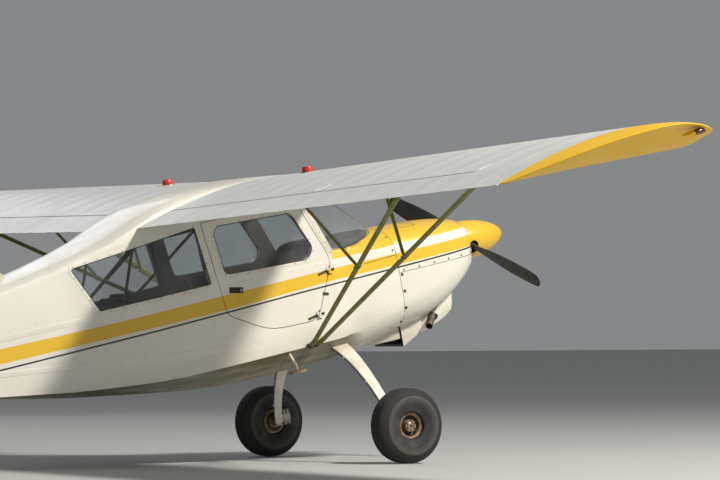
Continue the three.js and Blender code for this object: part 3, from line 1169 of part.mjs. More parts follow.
// Stand the aircraft on its wheels and put the origin at the bottom centre of its box
level.rotation.y = -PITCH;
aircraft.updateMatrixWorld(true);
const bounds = new THREE.Box3().setFromObject(aircraft, true);
level.position.set(-(bounds.min.x + bounds.max.x) / 2, -(bounds.min.y + bounds.max.y) / 2, -bounds.min.z);
aircraft.updateMatrixWorld(true);

export default aircraft;
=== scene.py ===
# %% [markdown]
# A light aircraft stands on its gear: a high wing on struts, a cabin for two in line, a flat cowl with
# a spinner, and a small tailwheel. The packed solids are loaded first and never moved, because every
# looser piece made here has to sit on them.

# %% The packed solids
import json
import math

import bmesh
import bpy
from mathutils import Matrix, Vector
from mathutils.bvhtree import BVHTree


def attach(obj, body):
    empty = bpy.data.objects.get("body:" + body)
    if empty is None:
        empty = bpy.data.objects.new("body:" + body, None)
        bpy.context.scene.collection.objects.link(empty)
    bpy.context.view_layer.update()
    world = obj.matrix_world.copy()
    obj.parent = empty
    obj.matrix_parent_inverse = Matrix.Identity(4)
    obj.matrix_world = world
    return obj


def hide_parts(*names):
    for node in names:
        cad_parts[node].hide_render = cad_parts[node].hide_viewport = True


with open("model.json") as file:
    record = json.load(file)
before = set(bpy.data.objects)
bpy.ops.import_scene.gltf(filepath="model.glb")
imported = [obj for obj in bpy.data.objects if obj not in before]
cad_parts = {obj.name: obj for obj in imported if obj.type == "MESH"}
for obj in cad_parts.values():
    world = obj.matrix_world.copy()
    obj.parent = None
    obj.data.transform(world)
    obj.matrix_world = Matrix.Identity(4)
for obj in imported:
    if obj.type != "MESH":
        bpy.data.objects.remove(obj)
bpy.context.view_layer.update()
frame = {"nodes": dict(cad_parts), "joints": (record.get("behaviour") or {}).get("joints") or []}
nodes = frame["nodes"]

# %% [markdown]
# The aircraft was drawn level and then tipped back onto its tailwheel. Every place below is easier to
# give in the level drawing: x forward from the wing's leading edge, y to the left, z up from the
# propeller's axis, in metres. The propeller's joint tells how far the drawing was tipped and moved.

# %% From the level drawing to the standing aircraft
PROPELLER_X = 1.471
spin = next(joint for joint in frame["joints"] if joint["name"] == "propeller_spin")
PITCH = math.atan2(spin["axis"][2], spin["axis"][0])
LEVEL_TURN = Matrix.Rotation(-PITCH, 3, "Y")
LEVEL_ORIGIN = Vector(spin["pos_m"]) - LEVEL_TURN @ Vector((PROPELLER_X, 0, 0))
print("nose up by", round(math.degrees(PITCH), 2), "degrees")

# %% [markdown]
# The camera comes first, because it decides which surfaces need the most care. A long lens far away
# keeps the wing's lines almost parallel, as the photograph has them. Its place was found by matching
# known points of the aircraft, such as wheels, struts and wing tip, with where they appear.

# %% Camera
CAMERA_FROM_ORIGIN = Vector((-12.819, -21.305, -0.512))
CAMERA_YAW = 1.012
CAMERA_RISE = 0.032
CAMERA_ROLL = -0.005
CAMERA_LENS = 165.05
CAMERA_SENSOR = 36.0


def make_camera():
    forward = Vector((
        math.cos(CAMERA_RISE) * math.cos(CAMERA_YAW),
        math.cos(CAMERA_RISE) * math.sin(CAMERA_YAW),
        math.sin(CAMERA_RISE),
    ))
    right = forward.cross(Vector((0, 0, 1))).normalized()
    up = right.cross(forward)
    rolled_right = math.cos(CAMERA_ROLL) * right + math.sin(CAMERA_ROLL) * up
    rolled_up = math.cos(CAMERA_ROLL) * up - math.sin(CAMERA_ROLL) * right
    data = bpy.data.cameras.new("camera")
    data.lens = CAMERA_LENS
    data.sensor_width = CAMERA_SENSOR
    data.sensor_fit = "HORIZONTAL"
    data.clip_end = 1000
    camera = bpy.data.objects.new("camera", data)
    turn = Matrix((rolled_right, rolled_up, -forward)).transposed()
    camera.matrix_world = Matrix.Translation(LEVEL_ORIGIN + CAMERA_FROM_ORIGIN) @ turn.to_4x4()
    bpy.context.scene.collection.objects.link(camera)
    bpy.context.scene.camera = camera
    return camera


camera = make_camera()
print("camera height:", round(camera.matrix_world.translation.z, 3))

# %% [markdown]
# Studio light: one broad, warm key from the front right stands in for a high sun, a cool sheet of
# light opposite keeps the far side readable, and a pale world fills the rest. The floor is a plain
# pale sheet, large enough to run out of every view. The view transform is Standard, because the
# default one would pale the yellow and grey the cream that the finishes below ask for.

# %% Light and floor
FLOOR_HALF = 400
FLOOR_GREY = (0.46, 0.46, 0.45, 1)
WORLD_GREY = (0.66, 0.68, 0.70, 1)
WORLD_STRENGTH = 0.36


def make_area_light(name, place, target, size, power, colour):
    data = bpy.data.lights.new(name, "AREA")
    data.size = size
    data.energy = power
    data.color = colour
    light = bpy.data.objects.new(name, data)
    light.location = place
    light.rotation_euler = (Vector(target) - Vector(place)).to_track_quat("-Z", "Y").to_euler()
    bpy.context.scene.collection.objects.link(light)


def make_floor():
    corners = [(x * FLOOR_HALF, y * FLOOR_HALF, 0) for x, y in ((-1, -1), (1, -1), (1, 1), (-1, 1))]
    mesh = bpy.data.meshes.new("floor")
    mesh.from_pydata(corners, [], [(0, 1, 2, 3)])
    floor = bpy.data.objects.new("floor", mesh)
    bpy.context.scene.collection.objects.link(floor)
    paint = bpy.data.materials.new("floor_paint")
    paint.use_nodes = True
    shader = paint.node_tree.nodes["Principled BSDF"]
    shader.inputs["Base Color"].default_value = FLOOR_GREY
    shader.inputs["Roughness"].default_value = 0.9
    mesh.materials.append(paint)


make_area_light("key", (7.3, -12.5, 13.6), (0, 0, 1), 2.2, 4150, (1.0, 0.965, 0.90))
make_area_light("fill", (-14, -12, 6), (0, 0, 1), 9.0, 150, (0.90, 0.95, 1.0))
make_area_light("far_side", (2, 15, 9), (0, 0, 1), 8.0, 300, (0.95, 0.97, 1.0))
make_floor()
world = bpy.data.worlds.new("studio")
world.use_nodes = True
sky = world.node_tree.nodes["Background"]
sky.inputs["Color"].default_value = WORLD_GREY
sky.inputs["Strength"].default_value = WORLD_STRENGTH
bpy.context.scene.world = world
bpy.context.scene.view_settings.view_transform = "Standard"

# %% [markdown]
# Every finish is a small node tree, so one class keeps the trees short. It starts a material, adds
# and links nodes, and names the steps that come back in every tree. Its level coordinates are those
# of the drawing: a Mapping node set to Texture undoes the tipping, so that stripes and ribs can be
# written in plain metres. Inside and outside a limit is 1 or 0, and times joins such answers.

# %% Helpers for finishes
class Finish:
    def __init__(self, name, roughness=0.4, metallic=0.0):
        self.material = bpy.data.materials.new(name)
        self.material.use_nodes = True
        self.tree = self.material.node_tree
        self.shader = self.tree.nodes["Principled BSDF"]
        self.set(Roughness=roughness, Metallic=metallic)

    def add(self, kind, inputs=None, **settings):
        node = self.tree.nodes.new(kind)
        for key, value in settings.items():
            setattr(node, key, value)
        for key, value in (inputs or {}).items():
            self.feed(node.inputs[key], value)
        return node

    def feed(self, socket, value):
        if isinstance(value, bpy.types.NodeSocket):
            self.tree.links.new(value, socket)
        else:
            socket.default_value = value

    def set(self, **values):
        for name, value in values.items():
            self.feed(self.shader.inputs[name.replace("_", " ")], value)

    def maths(self, operation, *values):
        node = self.add("ShaderNodeMath", operation=operation)
        for socket, value in zip(node.inputs, values):
            self.feed(socket, value)
        return node.outputs[0]

    def vectors(self, operation, *values, result="Vector"):
        node = self.add("ShaderNodeVectorMath", operation=operation)
        for socket, value in zip(node.inputs, values):
            self.feed(socket, value)
        return node.outputs[result]

    def times(self, first, *others):
        for value in others:
            first = self.maths("MULTIPLY", first, value)
        return first

    def over(self, value, limit):
        return self.maths("GREATER_THAN", value, limit)

    def under(self, value, limit):
        return self.maths("LESS_THAN", value, limit)

    def level(self):
        place = self.add("ShaderNodeTexCoord").outputs["Object"]
        turn = {"Vector": place, "Location": LEVEL_ORIGIN, "Rotation": (0, -PITCH, 0)}
        return self.add("ShaderNodeMapping", turn, vector_type="TEXTURE").outputs["Vector"]

    def level_normal(self):
        facing = self.add("ShaderNodeTexCoord").outputs["Normal"]
        turn = {"Vector": facing, "Rotation": (0, -PITCH, 0)}
        return self.add("ShaderNodeMapping", turn, vector_type="TEXTURE").outputs["Vector"]

    def split(self, vector):
        return self.add("ShaderNodeSeparateXYZ", {"Vector": vector}).outputs

    def noise(self, vector, scale, detail=3.0, roughness=0.5):
        inputs = {"Vector": vector, "Scale": scale, "Detail": detail, "Roughness": roughness}
        return self.add("ShaderNodeTexNoise", inputs).outputs["Fac"]

    def ramp(self, value, low, high, to_low=0.0, to_high=1.0):
        inputs = {"Value": value, "From Min": low, "From Max": high, "To Min": to_low, "To Max": to_high}
        return self.add("ShaderNodeMapRange", inputs).outputs["Result"]

    def blend(self, amount, first, second, how="MIX"):
        node = self.add("ShaderNodeMix", data_type="RGBA", blend_type=how)
        self.feed(node.inputs["Factor"], amount)
        self.feed(node.inputs["A"], first)
        self.feed(node.inputs["B"], second)
        return node.outputs["Result"]

    def mottled(self, mottle, first, second, most=1.0):
        return self.blend(self.ramp(mottle, 0.35, 0.7, 0.0, most), first, second)

    def bump(self, height, strength, distance):
        inputs = {"Height": height, "Strength": strength, "Distance": distance}
        self.set(Normal=self.add("ShaderNodeBump", inputs).outputs["Normal"])


def rgb(red, green, blue):
    return (red, green, blue, 1.0)


print("steps that a finish can use:", [name for name in vars(Finish) if not name.startswith("_")])

# %% [markdown]
# The livery is one material for the whole body, so a stripe runs unbroken over wall, door and cowl.
# Each edge of a stripe is a curve: how high it lies at each station of the body. A point is yellow
# where its height falls between the two edges, dark on the pin stripe, and cream elsewhere. Ahead of
# the door everything over the second white band is yellow too. Low on the body the colour turns browner
# and darker in streaks, less so on the cowl. The faces that look down, from the gear back, get a painted
# shade of dark olive, and the inside of the cowl's outlet, the wedge between its ramp and its roof, is
# painted black as shade. Faces that look towards the cabin's middle are its trim, so they are grey.

# %% Places and colours of the livery
STATION_RANGE = (-5.0, 2.0)
HEIGHT_RANGE = (-0.5, 0.5)
YELLOW_TOP = [(-4.6, 0.040), (-2.8, 0.028), (-1.97, 0.028), (-0.79, 0.047), (0.0, 0.059), (1.45, 0.062)]
YELLOW_LOW = [(-4.6, -0.090), (-2.8, -0.078), (-2.0, -0.070), (-0.81, -0.060), (0.0, -0.028),
              (1.45, -0.021)]
PIN_STRIPE = [(-4.6, -0.150), (-2.8, -0.120), (-2.0, -0.104), (-0.815, -0.077), (-0.29, -0.062),
              (1.45, -0.031)]
PIN_HALF = 0.0062
WHITE_BAND_TOP = 0.125
NOSE_YELLOW_FROM = 0.033
CREAM = rgb(0.80, 0.765, 0.68)
WARM_CREAM = rgb(0.74, 0.69, 0.58)
YELLOW = rgb(0.80, 0.50, 0.035)
PIN_DARK = rgb(0.035, 0.037, 0.030)
LOW_BROWN = rgb(0.30, 0.24, 0.15)
UNDERSIDE_SHADE_OLIVE = rgb(0.105, 0.094, 0.040)
OUTLET_SHADE_BLACK = rgb(0.012, 0.011, 0.010)
TRIM_GREY = rgb(0.17, 0.155, 0.135)
BROWNING_HEIGHTS = (-0.30, -0.62)
LESS_BROWNING_AHEAD = (0.70, 1.00)
FACING_DOWN = (-0.42, -0.56)
UNDERSIDE_SHADE_FADE = (0.22, 0.04)
CABIN_MIDDLE = 0.10
CABIN_ENDS = (-2.27, 0.598)
FACING_IN = -0.012
OUTLET_HALF = 0.2035
OUTLET_ENDS = (0.632, 0.836)
OUTLET_RAMP = (0.640, 0.835, -0.6625, -0.5285)
OUTLET_ROOF = (0.606, 0.836, -0.548, -0.5285)
print("stripes:", [len(edge) for edge in (YELLOW_TOP, YELLOW_LOW, PIN_STRIPE)], "points each")


# %% [markdown]
# A Float Curve node turns a station into a height, and its handles are set to Vector, so the edge runs
# straight from point to point. Masks are plain comparisons of the level coordinates. They are laid in
# this order: base, stripes, trim, the browning low down, the painted shade of the faces that look down,
# and the painted shade inside the outlet.

# %% Livery
def height_curve(finish, station, points):
    node = finish.add("ShaderNodeFloatCurve")
    curve = node.mapping.curves[0]
    node.mapping.use_clip = False
    scaled = []
    for x, z in points:
        along = (x - STATION_RANGE[0]) / (STATION_RANGE[1] - STATION_RANGE[0])
        up = (z - HEIGHT_RANGE[0]) / (HEIGHT_RANGE[1] - HEIGHT_RANGE[0])
        scaled.append((along, up))
    curve.points[0].location = (0.0, scaled[0][1])
    curve.points[1].location = (1.0, scaled[-1][1])
    for along, up in scaled:
        curve.points.new(along, up)
    for point in curve.points:
        point.handle_type = "VECTOR"
    node.mapping.update()
    finish.feed(node.inputs["Value"], station)
    return finish.ramp(node.outputs["Value"], 0.0, 1.0, *HEIGHT_RANGE)


def inside_cabin(finish, level, x, normal):
    from_middle = finish.vectors("SUBTRACT", level, (0.0, 0.0, CABIN_MIDDLE))
    outwards = finish.vectors("MULTIPLY", from_middle, (0.0, 1.0, 1.0))
    facing = finish.vectors("DOT_PRODUCT", outwards, normal, result="Value")
    return finish.times(finish.under(facing, FACING_IN),
                        finish.under(x, CABIN_ENDS[1]), finish.over(x, CABIN_ENDS[0]))


def outlet_shade_mask(finish, x, y, z):
    return finish.times(
        finish.under(finish.maths("ABSOLUTE", y), OUTLET_HALF),
        finish.over(x, OUTLET_ENDS[0]), finish.under(x, OUTLET_ENDS[1]),
        finish.over(z, finish.ramp(x, *OUTLET_RAMP)), finish.under(z, finish.ramp(x, *OUTLET_ROOF)))


def make_livery():
    finish = Finish("body_paint", 0.32)
    level, normal = finish.level(), finish.level_normal()
    x, y, z = finish.split(level)
    station = finish.ramp(x, *STATION_RANGE)
    top, low, pin = (height_curve(finish, station, edge) for edge in (YELLOW_TOP, YELLOW_LOW, PIN_STRIPE))
    in_band = finish.times(finish.under(z, top), finish.over(z, low))
    on_nose = finish.times(finish.over(x, NOSE_YELLOW_FROM), finish.over(z, WHITE_BAND_TOP))
    off_pin = finish.maths("ABSOLUTE", finish.maths("SUBTRACT", z, pin))
    painted = finish.mottled(finish.noise(level, 1.7, 4.0), CREAM, WARM_CREAM, 0.22)
    painted = finish.blend(finish.maths("MAXIMUM", in_band, on_nose), painted, YELLOW)
    painted = finish.blend(finish.under(off_pin, PIN_HALF), painted, PIN_DARK)
    painted = finish.blend(inside_cabin(finish, level, x, normal), painted, TRIM_GREY)
    drawn_out = finish.add("ShaderNodeMapping", {"Vector": level, "Scale": (1.2, 9.0, 9.0)}).outputs[0]
    streaks = finish.noise(drawn_out, 2.2, 6.0)
    # Browner and darker low on the body, in streaks, and less so on the cowl.
    browning = finish.times(finish.ramp(z, *BROWNING_HEIGHTS), finish.ramp(streaks, 0.30, 0.80, 0.30, 0.72),
                        finish.ramp(x, *LESS_BROWNING_AHEAD, 1.0, 0.35))
    # Painted shade: faces that look down, from the gear back, are darkened to olive.
    underside_shade = finish.times(finish.ramp(finish.split(normal)["Z"], *FACING_DOWN), finish.ramp(x, *UNDERSIDE_SHADE_FADE),
                         finish.ramp(streaks, 0.30, 0.62, 0.72, 0.97))
    browned_and_shaded = finish.blend(underside_shade, finish.blend(browning, painted, LOW_BROWN), UNDERSIDE_SHADE_OLIVE)
    gloss = finish.ramp(finish.noise(level, 6.0), 0.3, 0.7, 0.26, 0.42)
    # Painted shade: inside the cowl's outlet the colour is near black.
    finish.set(Base_Color=finish.blend(outlet_shade_mask(finish, x, y, z), browned_and_shaded, OUTLET_SHADE_BLACK), Roughness=gloss,
               Coat_Weight=0.35, Coat_Roughness=0.12)
    finish.bump(finish.noise(level, 3.0, 2.0), 0.25, 0.004)
    return finish.material


body_paint = make_livery()
print("livery nodes:", len(body_paint.node_tree.nodes))

# %% [markdown]
# The wing is fabric over ribs, and each rib shows as a slightly proud, lighter tape. The ribs stand
# at even steps along the span, so the distance from the nearest one is a wave of the y coordinate,
# and that wave drives both the colour and the relief. In the nose of the wing a half rib stands
# between every two, so the wave is twice as fast there. The tail's fabric is painted cream.

# %% Fabric of the wing and the tail
WING_ROOT = 0.400
TIP_RIB = 4.985
WING_BAYS = 15
RIB_STEP = (TIP_RIB - WING_ROOT) / WING_BAYS
NOSE_RIBS_FROM = -0.56
AHEAD_OF_ALL = 5.0
FABRIC_WHITE = rgb(0.60, 0.61, 0.60)


def shaded(colour, *factors):
    return rgb(*(min(part * factor, 1.0) for part, factor in zip(colour, factors)))


def make_fabric(name, colour, across_axis, step, first=0.0, nose_from=AHEAD_OF_ALL):
    finish = Finish(name, 0.45)
    level = finish.level()
    split = finish.split(level)
    out = finish.maths("SUBTRACT", finish.maths("ABSOLUTE", split[across_axis]), first)
    full, half = finish.maths("PINGPONG", out, step / 2), finish.maths("PINGPONG", out, step / 4)
    from_rib = finish.ramp(finish.over(split["X"], nose_from), 0.0, 1.0, full, half)
    tape = finish.ramp(from_rib, step * 0.06, step * 0.045)
    cloudy = finish.noise(level, 2.3, 4.0)
    base = finish.mottled(cloudy, colour, shaded(colour, 0.88, 0.88, 0.85), 0.25)
    taped = finish.blend(finish.times(tape, 0.6), base, shaded(colour, 1.12, 1.12, 1.11))
    threads = {"Vector": level, "Scale": 260.0, "Distortion": 0.6}
    weave = finish.add("ShaderNodeTexWave", threads, bands_direction="DIAGONAL").outputs["Fac"]
    finish.bump(finish.maths("ADD", finish.times(tape, 0.5), finish.times(weave, 0.06)), 0.5, 0.0015)
    finish.set(Base_Color=taped, Roughness=finish.ramp(cloudy, 0.3, 0.7, 0.38, 0.52),
               Coat_Weight=0.2, Coat_Roughness=0.2)
    return finish.material


wing_fabric = make_fabric("wing_fabric", FABRIC_WHITE, "Y", RIB_STEP, WING_ROOT, NOSE_RIBS_FROM)
tail_fabric = make_fabric("tail_fabric", CREAM, "Z", 0.24)
tailplane_fabric = make_fabric("tailplane_fabric", CREAM, "Y", 0.26)
print("step from rib to rib:", round(RIB_STEP, 4))

# %% [markdown]
# The other finishes are plainer: gloss paint for the tips and spinner, olive paint for the struts,
# steel, glass, lamp lenses and the cabin's own materials. Each gets some change of colour and of
# gloss over its surface, because nothing on a working aircraft is one flat colour. The step has two
# tones in one material, split by height: a cream tube and a worn, brown pad below it.

# %% Plain finishes
STEP_PAD_TOP = -0.612
TUBE_TONES = (rgb(0.70, 0.64, 0.52), rgb(0.42, 0.33, 0.20))
PAD_TONES = (rgb(0.34, 0.22, 0.13), rgb(0.18, 0.11, 0.07))


def make_paint(name, colour, shade, roughness=0.35, metallic=0.0, scale=5.0, relief=0.0008,
               coat=0.0, gloss=0.5):
    finish = Finish(name, roughness, metallic)
    level = finish.level()
    wear = finish.noise(level, scale * 2.3)
    worn = finish.ramp(wear, 0.3, 0.7, roughness * 0.8, min(roughness * 1.25, 1.0))
    finish.set(Base_Color=finish.mottled(finish.noise(level, scale, 5.0), colour, shade), Roughness=worn,
               Coat_Weight=coat, Coat_Roughness=0.1, Specular_IOR_Level=gloss)
    finish.bump(finish.noise(level, scale * 12.0, 3.0), 0.25, relief)
    return finish.material


def make_step_paint():
    finish = Finish("step_paint", 0.45)
    level = finish.level()
    on_pad = finish.under(finish.split(level)["Z"], STEP_PAD_TOP)
    mottle = finish.noise(level, 9.0, 5.0)
    tube, pad = finish.mottled(mottle, *TUBE_TONES), finish.mottled(mottle, *PAD_TONES)
    finish.set(Base_Color=finish.blend(on_pad, tube, pad))
    finish.bump(finish.noise(level, 90.0, 3.0), 0.2, 0.0006)
    return finish.material


def make_glass(name, tint, roughness=0.03):
    finish = Finish(name, roughness)
    level = finish.level()
    smears = finish.noise(level, 4.0, 4.0)
    clouded = finish.blend(finish.ramp(smears, 0.45, 0.75, 0.0, 0.3), tint, rgb(0.78, 0.80, 0.78))
    clear = finish.ramp(finish.noise(level, 1.6, 5.0), 0.35, 0.72, 0.985, 0.90)
    finish.set(Base_Color=clouded, Roughness=finish.ramp(smears, 0.4, 0.8, roughness, roughness + 0.06),
               Transmission_Weight=clear, IOR=1.2)
    return finish.material


yellow_gloss = make_paint("yellow_gloss", YELLOW, rgb(0.74, 0.45, 0.03), 0.28, relief=0.0002, coat=0.4)
tip_yellow = make_paint("tip_yellow", rgb(0.80, 0.47, 0.012), rgb(0.74, 0.42, 0.010), 0.42, scale=3.0,
                        relief=0.0, gloss=0.3)
strut_olive = make_paint("strut_olive", rgb(0.195, 0.188, 0.036), rgb(0.150, 0.142, 0.030), 0.5, scale=9.0,
                         gloss=0.3)
blade_dark = make_paint("blade_dark", rgb(0.030, 0.029, 0.025), rgb(0.042, 0.040, 0.032), 0.6,
                        relief=0.0002)
gear_cream = make_paint("gear_cream", rgb(0.78, 0.73, 0.63), rgb(0.62, 0.55, 0.42), 0.4, scale=7.0, coat=0.2)
step_paint = make_step_paint()
bare_steel = make_paint("bare_steel", rgb(0.42, 0.40, 0.37), rgb(0.28, 0.25, 0.21), 0.35, 0.9, scale=22.0)
burnt_steel = make_paint("burnt_steel", rgb(0.23, 0.17, 0.13), rgb(0.10, 0.08, 0.07), 0.5, 0.7, scale=18.0)
dark_metal = make_paint("dark_metal", rgb(0.035, 0.035, 0.032), rgb(0.07, 0.065, 0.055), 0.5, 0.3, scale=14.0)
cap_red = make_paint("cap_red", rgb(0.62, 0.045, 0.030), rgb(0.50, 0.03, 0.025), 0.3, scale=12.0)
panel_dark = make_paint("panel_dark", rgb(0.055, 0.048, 0.042), rgb(0.09, 0.075, 0.06), 0.7, scale=18.0)
# Flat black for the dials and the air filter; on the exhaust's hole it is painted shade.
flat_black_and_shade = make_paint("flat_black_and_shade", rgb(0.008, 0.008, 0.008), rgb(0.014, 0.013, 0.012), 0.9)
window_glass = make_glass("window_glass", rgb(0.86, 0.90, 0.91))
lens_maroon = make_paint("lens_maroon", rgb(0.10, 0.012, 0.014), rgb(0.06, 0.008, 0.010), 0.12, coat=0.8)
print("finishes:", len(bpy.data.materials))

# %% [markdown]
# Each solid now gets its finish from one table, so that a part and its neighbour share a paint where
# the real ones do. The second value is the sharpest turn, in degrees, that is still shaded smoothly.
# The smoothing at the end of this lesson uses it: a drawn tube is smoothed more than a flat wall.
# Solids that a finer piece replaces later get a plain finish, which nobody sees.

# %% Finishes of the packed solids
NODE_FINISH = {
    "belly_floor": (body_paint, 32),
    "side_wall_left": (body_paint, 28), "side_wall_right": (body_paint, 28),
    "roof_fairing": (body_paint, 34), "boot_cowl": (body_paint, 30), "rear_fuselage": (body_paint, 34),
    "engine_cowl_upper": (body_paint, 34), "engine_cowl_lower": (body_paint, 34),
    "door_right": (body_paint, 28),
    "windscreen": (window_glass, 30), "window_rear_left": (window_glass, 30),
    "window_rear_right": (window_glass, 30), "window_front_left": (window_glass, 30),
    "door_window": (window_glass, 30), "engine_block": (dark_metal, 30), "exhaust_pipe": (burnt_steel, 45),
    "propeller": (blade_dark, 40), "spinner": (yellow_gloss, 40), "fin": (tail_fabric, 25),
    "rudder": (tail_fabric, 25), "elevator": (tailplane_fabric, 25), "tail_stays_lower": (bare_steel, 40),
    "tail_spring": (dark_metal, 35), "tailwheel_fork": (dark_metal, 35), "front_seat_frame": (dark_metal, 35),
    "rear_seat_frame": (dark_metal, 35), "control_sticks": (dark_metal, 40),
    "instrument_panel": (panel_dark, 35), "cabin_frame": (dark_metal, 45), "foot_step": (step_paint, 35),
    "blade_aerial": (gear_cream, 35), "front_seat_cushions": (panel_dark, 35),
    "rear_seat_cushions": (panel_dark, 35), "tailwheel": (dark_metal, 35),
}
SIDED_FINISH = {
    "wing": (wing_fabric, 24), "wing_tip": (tip_yellow, 40), "lift_struts": (strut_olive, 40),
    "jury_struts": (strut_olive, 40), "gear_leg": (gear_cream, 35), "tailplane": (tailplane_fabric, 25),
    "fuel_cap": (cap_red, 35), "tail_stays_upper": (bare_steel, 40), "flap": (wing_fabric, 24),
    "aileron": (wing_fabric, 24), "hub": (bare_steel, 32), "tyre": (dark_metal, 35),
}
for side in ("left", "right"):
    for name, finish in SIDED_FINISH.items():
        NODE_FINISH[name + "_" + side] = finish
for name, (finish, _) in NODE_FINISH.items():
    nodes[name].data.materials.clear()
    nodes[name].data.materials.append(finish)
print("solids without a finish:", sorted(set(nodes) - set(NODE_FINISH)))

# %% [markdown]
# A few small helpers serve every shape: the matrix that carries the level drawing to the standing
# aircraft, even turns of a circle, even steps between two numbers, and three directions at right
# angles to one another, of which the first is given. Points closer than ALIKE are merged later.

# %% Steps, turns and directions
LEVEL_MATRIX = Matrix.Translation(LEVEL_ORIGIN) @ LEVEL_TURN.to_4x4()
ALIKE = 0.00002


def around(count):
    return [2 * math.pi * k / count for k in range(count)]


def between(first, last, steps):
    return [first + (last - first) * k / steps for k in range(steps + 1)]


def unit_frame(direction, near=(0.0, 0.0, 1.0)):
    ahead = Vector(direction).normalized()
    side = ahead.cross(Vector(near))
    if side.length < 1e-4:
        side = ahead.cross(Vector((1.0, 0.013, 0.017)))
    side.normalize()
    return ahead, side, side.cross(ahead)


print("four steps from 0 to 1:", between(0.0, 1.0, 4))

# %% [markdown]
# Most pieces made from here on are lofts, boxes, tubes and turned rings. One small class
# gathers the points and faces of such shapes in the level drawing, in metres. A loft joins rings of
# points, and a gap leaves a stretch of its wall out. Each face remembers the number of its finish.

# %% Shapes drawn in the level drawing
class Shape:
    def __init__(self):
        self.points = []
        self.faces = []
        self.finish_of_face = []
        self.current = 0

    def finish(self, index):
        self.current = index
        return self

    def add(self, points, faces):
        start = len(self.points)
        self.points.extend(Vector(point) for point in points)
        self.faces.extend(tuple(start + i for i in face) for face in faces)
        self.finish_of_face.extend([self.current] * len(faces))
        return self

    def loft(self, rings, caps=True, gaps=()):
        count = len(rings[0])
        faces = []
        for row in range(len(rings) - 1):
            left_out = set()
            for _, _, start, end in [gap for gap in gaps if gap[0] <= row < gap[1]]:
                arc = [(start + k) % count for k in range((end - start) % count)]
                left_out.update(arc)
                faces.append((row * count + start, row * count + end,
                              (row + 1) * count + end, (row + 1) * count + start))
            for i in range(count):
                if i not in left_out:
                    here, after = row * count, (row + 1) * count
                    j = (i + 1) % count
                    faces.append((here + i, here + j, after + j, after + i))
        for first, last, start, end in gaps:
            arc = [(start + k) % count for k in range((end - start) % count + 1)]
            faces.extend(tuple(row * count + i for i in arc) for row in (first, last))
        if caps:
            last_row = (len(rings) - 1) * count
            faces.append(tuple(range(count)))
            faces.append(tuple(last_row + i for i in range(count)))
        return self.add([point for ring in rings for point in ring], faces)

    def box(self, low, high, edge=0.0):
        e = min(edge, min((high[i] - low[i]) * 0.4 for i in range(3)))
        rings = []
        for z, shrink in ((low[2], e), (low[2] + e, 0.0), (high[2] - e, 0.0), (high[2], e)):
            x0, x1 = low[0] + shrink, high[0] - shrink
            y0, y1 = low[1] + shrink, high[1] - shrink
            rings.append([(x0 + e, y0, z), (x1 - e, y0, z), (x1, y0 + e, z), (x1, y1 - e, z),
                          (x1 - e, y1, z), (x0 + e, y1, z), (x0, y1 - e, z), (x0, y0 + e, z)])
        return self.loft(rings if e else [rings[0], rings[3]])

    def tube(self, path, radius, sides=12, width=None, near=(0.0, 0.0, 1.0), scales=None):
        rings = []
        for index, point in enumerate(path):
            before = Vector(path[max(index - 1, 0)])
            after = Vector(path[min(index + 1, len(path) - 1)])
            _, side, up = unit_frame(after - before, near)
            size = scales[index] if scales else 1.0
            out, over = side * size * (width or radius), up * size * radius
            rings.append([Vector(point) + out * math.cos(turn) + over * math.sin(turn)
                          for turn in around(sides)])
        return self.loft(rings)

    def turned(self, profile, centre, axis, sides=48, closed=False):
        ahead, side, up = unit_frame(axis)
        rings = []
        for turn in around(sides):
            out = side * math.cos(turn) + up * math.sin(turn)
            rings.append([Vector(centre) + ahead * along + out * radius for along, radius in profile])
        count = len(profile)
        faces = []
        for k in range(sides):
            after = (k + 1) % sides
            for i in range(count if closed else count - 1):
                j = (i + 1) % count
                faces.append((k * count + i, k * count + j, after * count + j, after * count + i))
        if not closed:
            for i in (0, count - 1):
                if profile[i][1] > 1e-6:
                    faces.append(tuple(k * count + i for k in range(sides)))
        return self.add([point for ring in rings for point in ring], faces)

    def mirror(self):
        other = Shape()
        other.points = [Vector((p.x, -p.y, p.z)) for p in self.points]
        other.faces = list(self.faces)
        other.finish_of_face = list(self.finish_of_face)
        return other

    def mesh(self, name, finishes, angle):
        mesh = bpy.data.meshes.new(name)
        mesh.from_pydata([tuple(point) for point in self.points], [], self.faces)
        mesh.polygons.foreach_set("material_index", self.finish_of_face)
        return tidy_mesh(mesh, finishes, angle, LEVEL_MATRIX)


print("ways to shape a piece:", [name for name in vars(Shape) if not name.startswith("_")])

# %% [markdown]
# A shape becomes one object in four steps. Points that lie together are merged, all faces are pointed
# outwards, the mesh is tipped onto the gear, and the object rides on its body. Left and right pieces
# are mirror images, so the right one is never drawn: a pair is made from the left shape alone.

# %% From a shape to a piece
def tidy_mesh(mesh, finishes, angle, matrix=Matrix.Identity(4)):
    work = bmesh.new()
    work.from_mesh(mesh)
    bmesh.ops.remove_doubles(work, verts=work.verts, dist=ALIKE)
    bmesh.ops.recalc_face_normals(work, faces=work.faces)
    work.transform(matrix)
    for face in work.faces:
        face.smooth = True
    limit = math.radians(angle)
    for edge in work.edges:
        edge.smooth = edge.is_manifold and edge.calc_face_angle(0.0) < limit
    work.to_mesh(mesh)
    work.free()
    for finish in finishes:
        mesh.materials.append(finish)
    return mesh


made = []


def mount(name, mesh, body, stands_for=()):
    obj = bpy.data.objects.new(name, mesh)
    bpy.context.scene.collection.objects.link(obj)
    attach(obj, body)
    if stands_for:
        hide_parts(*stands_for)
    made.append(obj)
    return obj


def make(name, shape, finishes, body, stands_for=(), angle=35):
    return mount(name, shape.mesh(name, finishes, angle), body, stands_for)


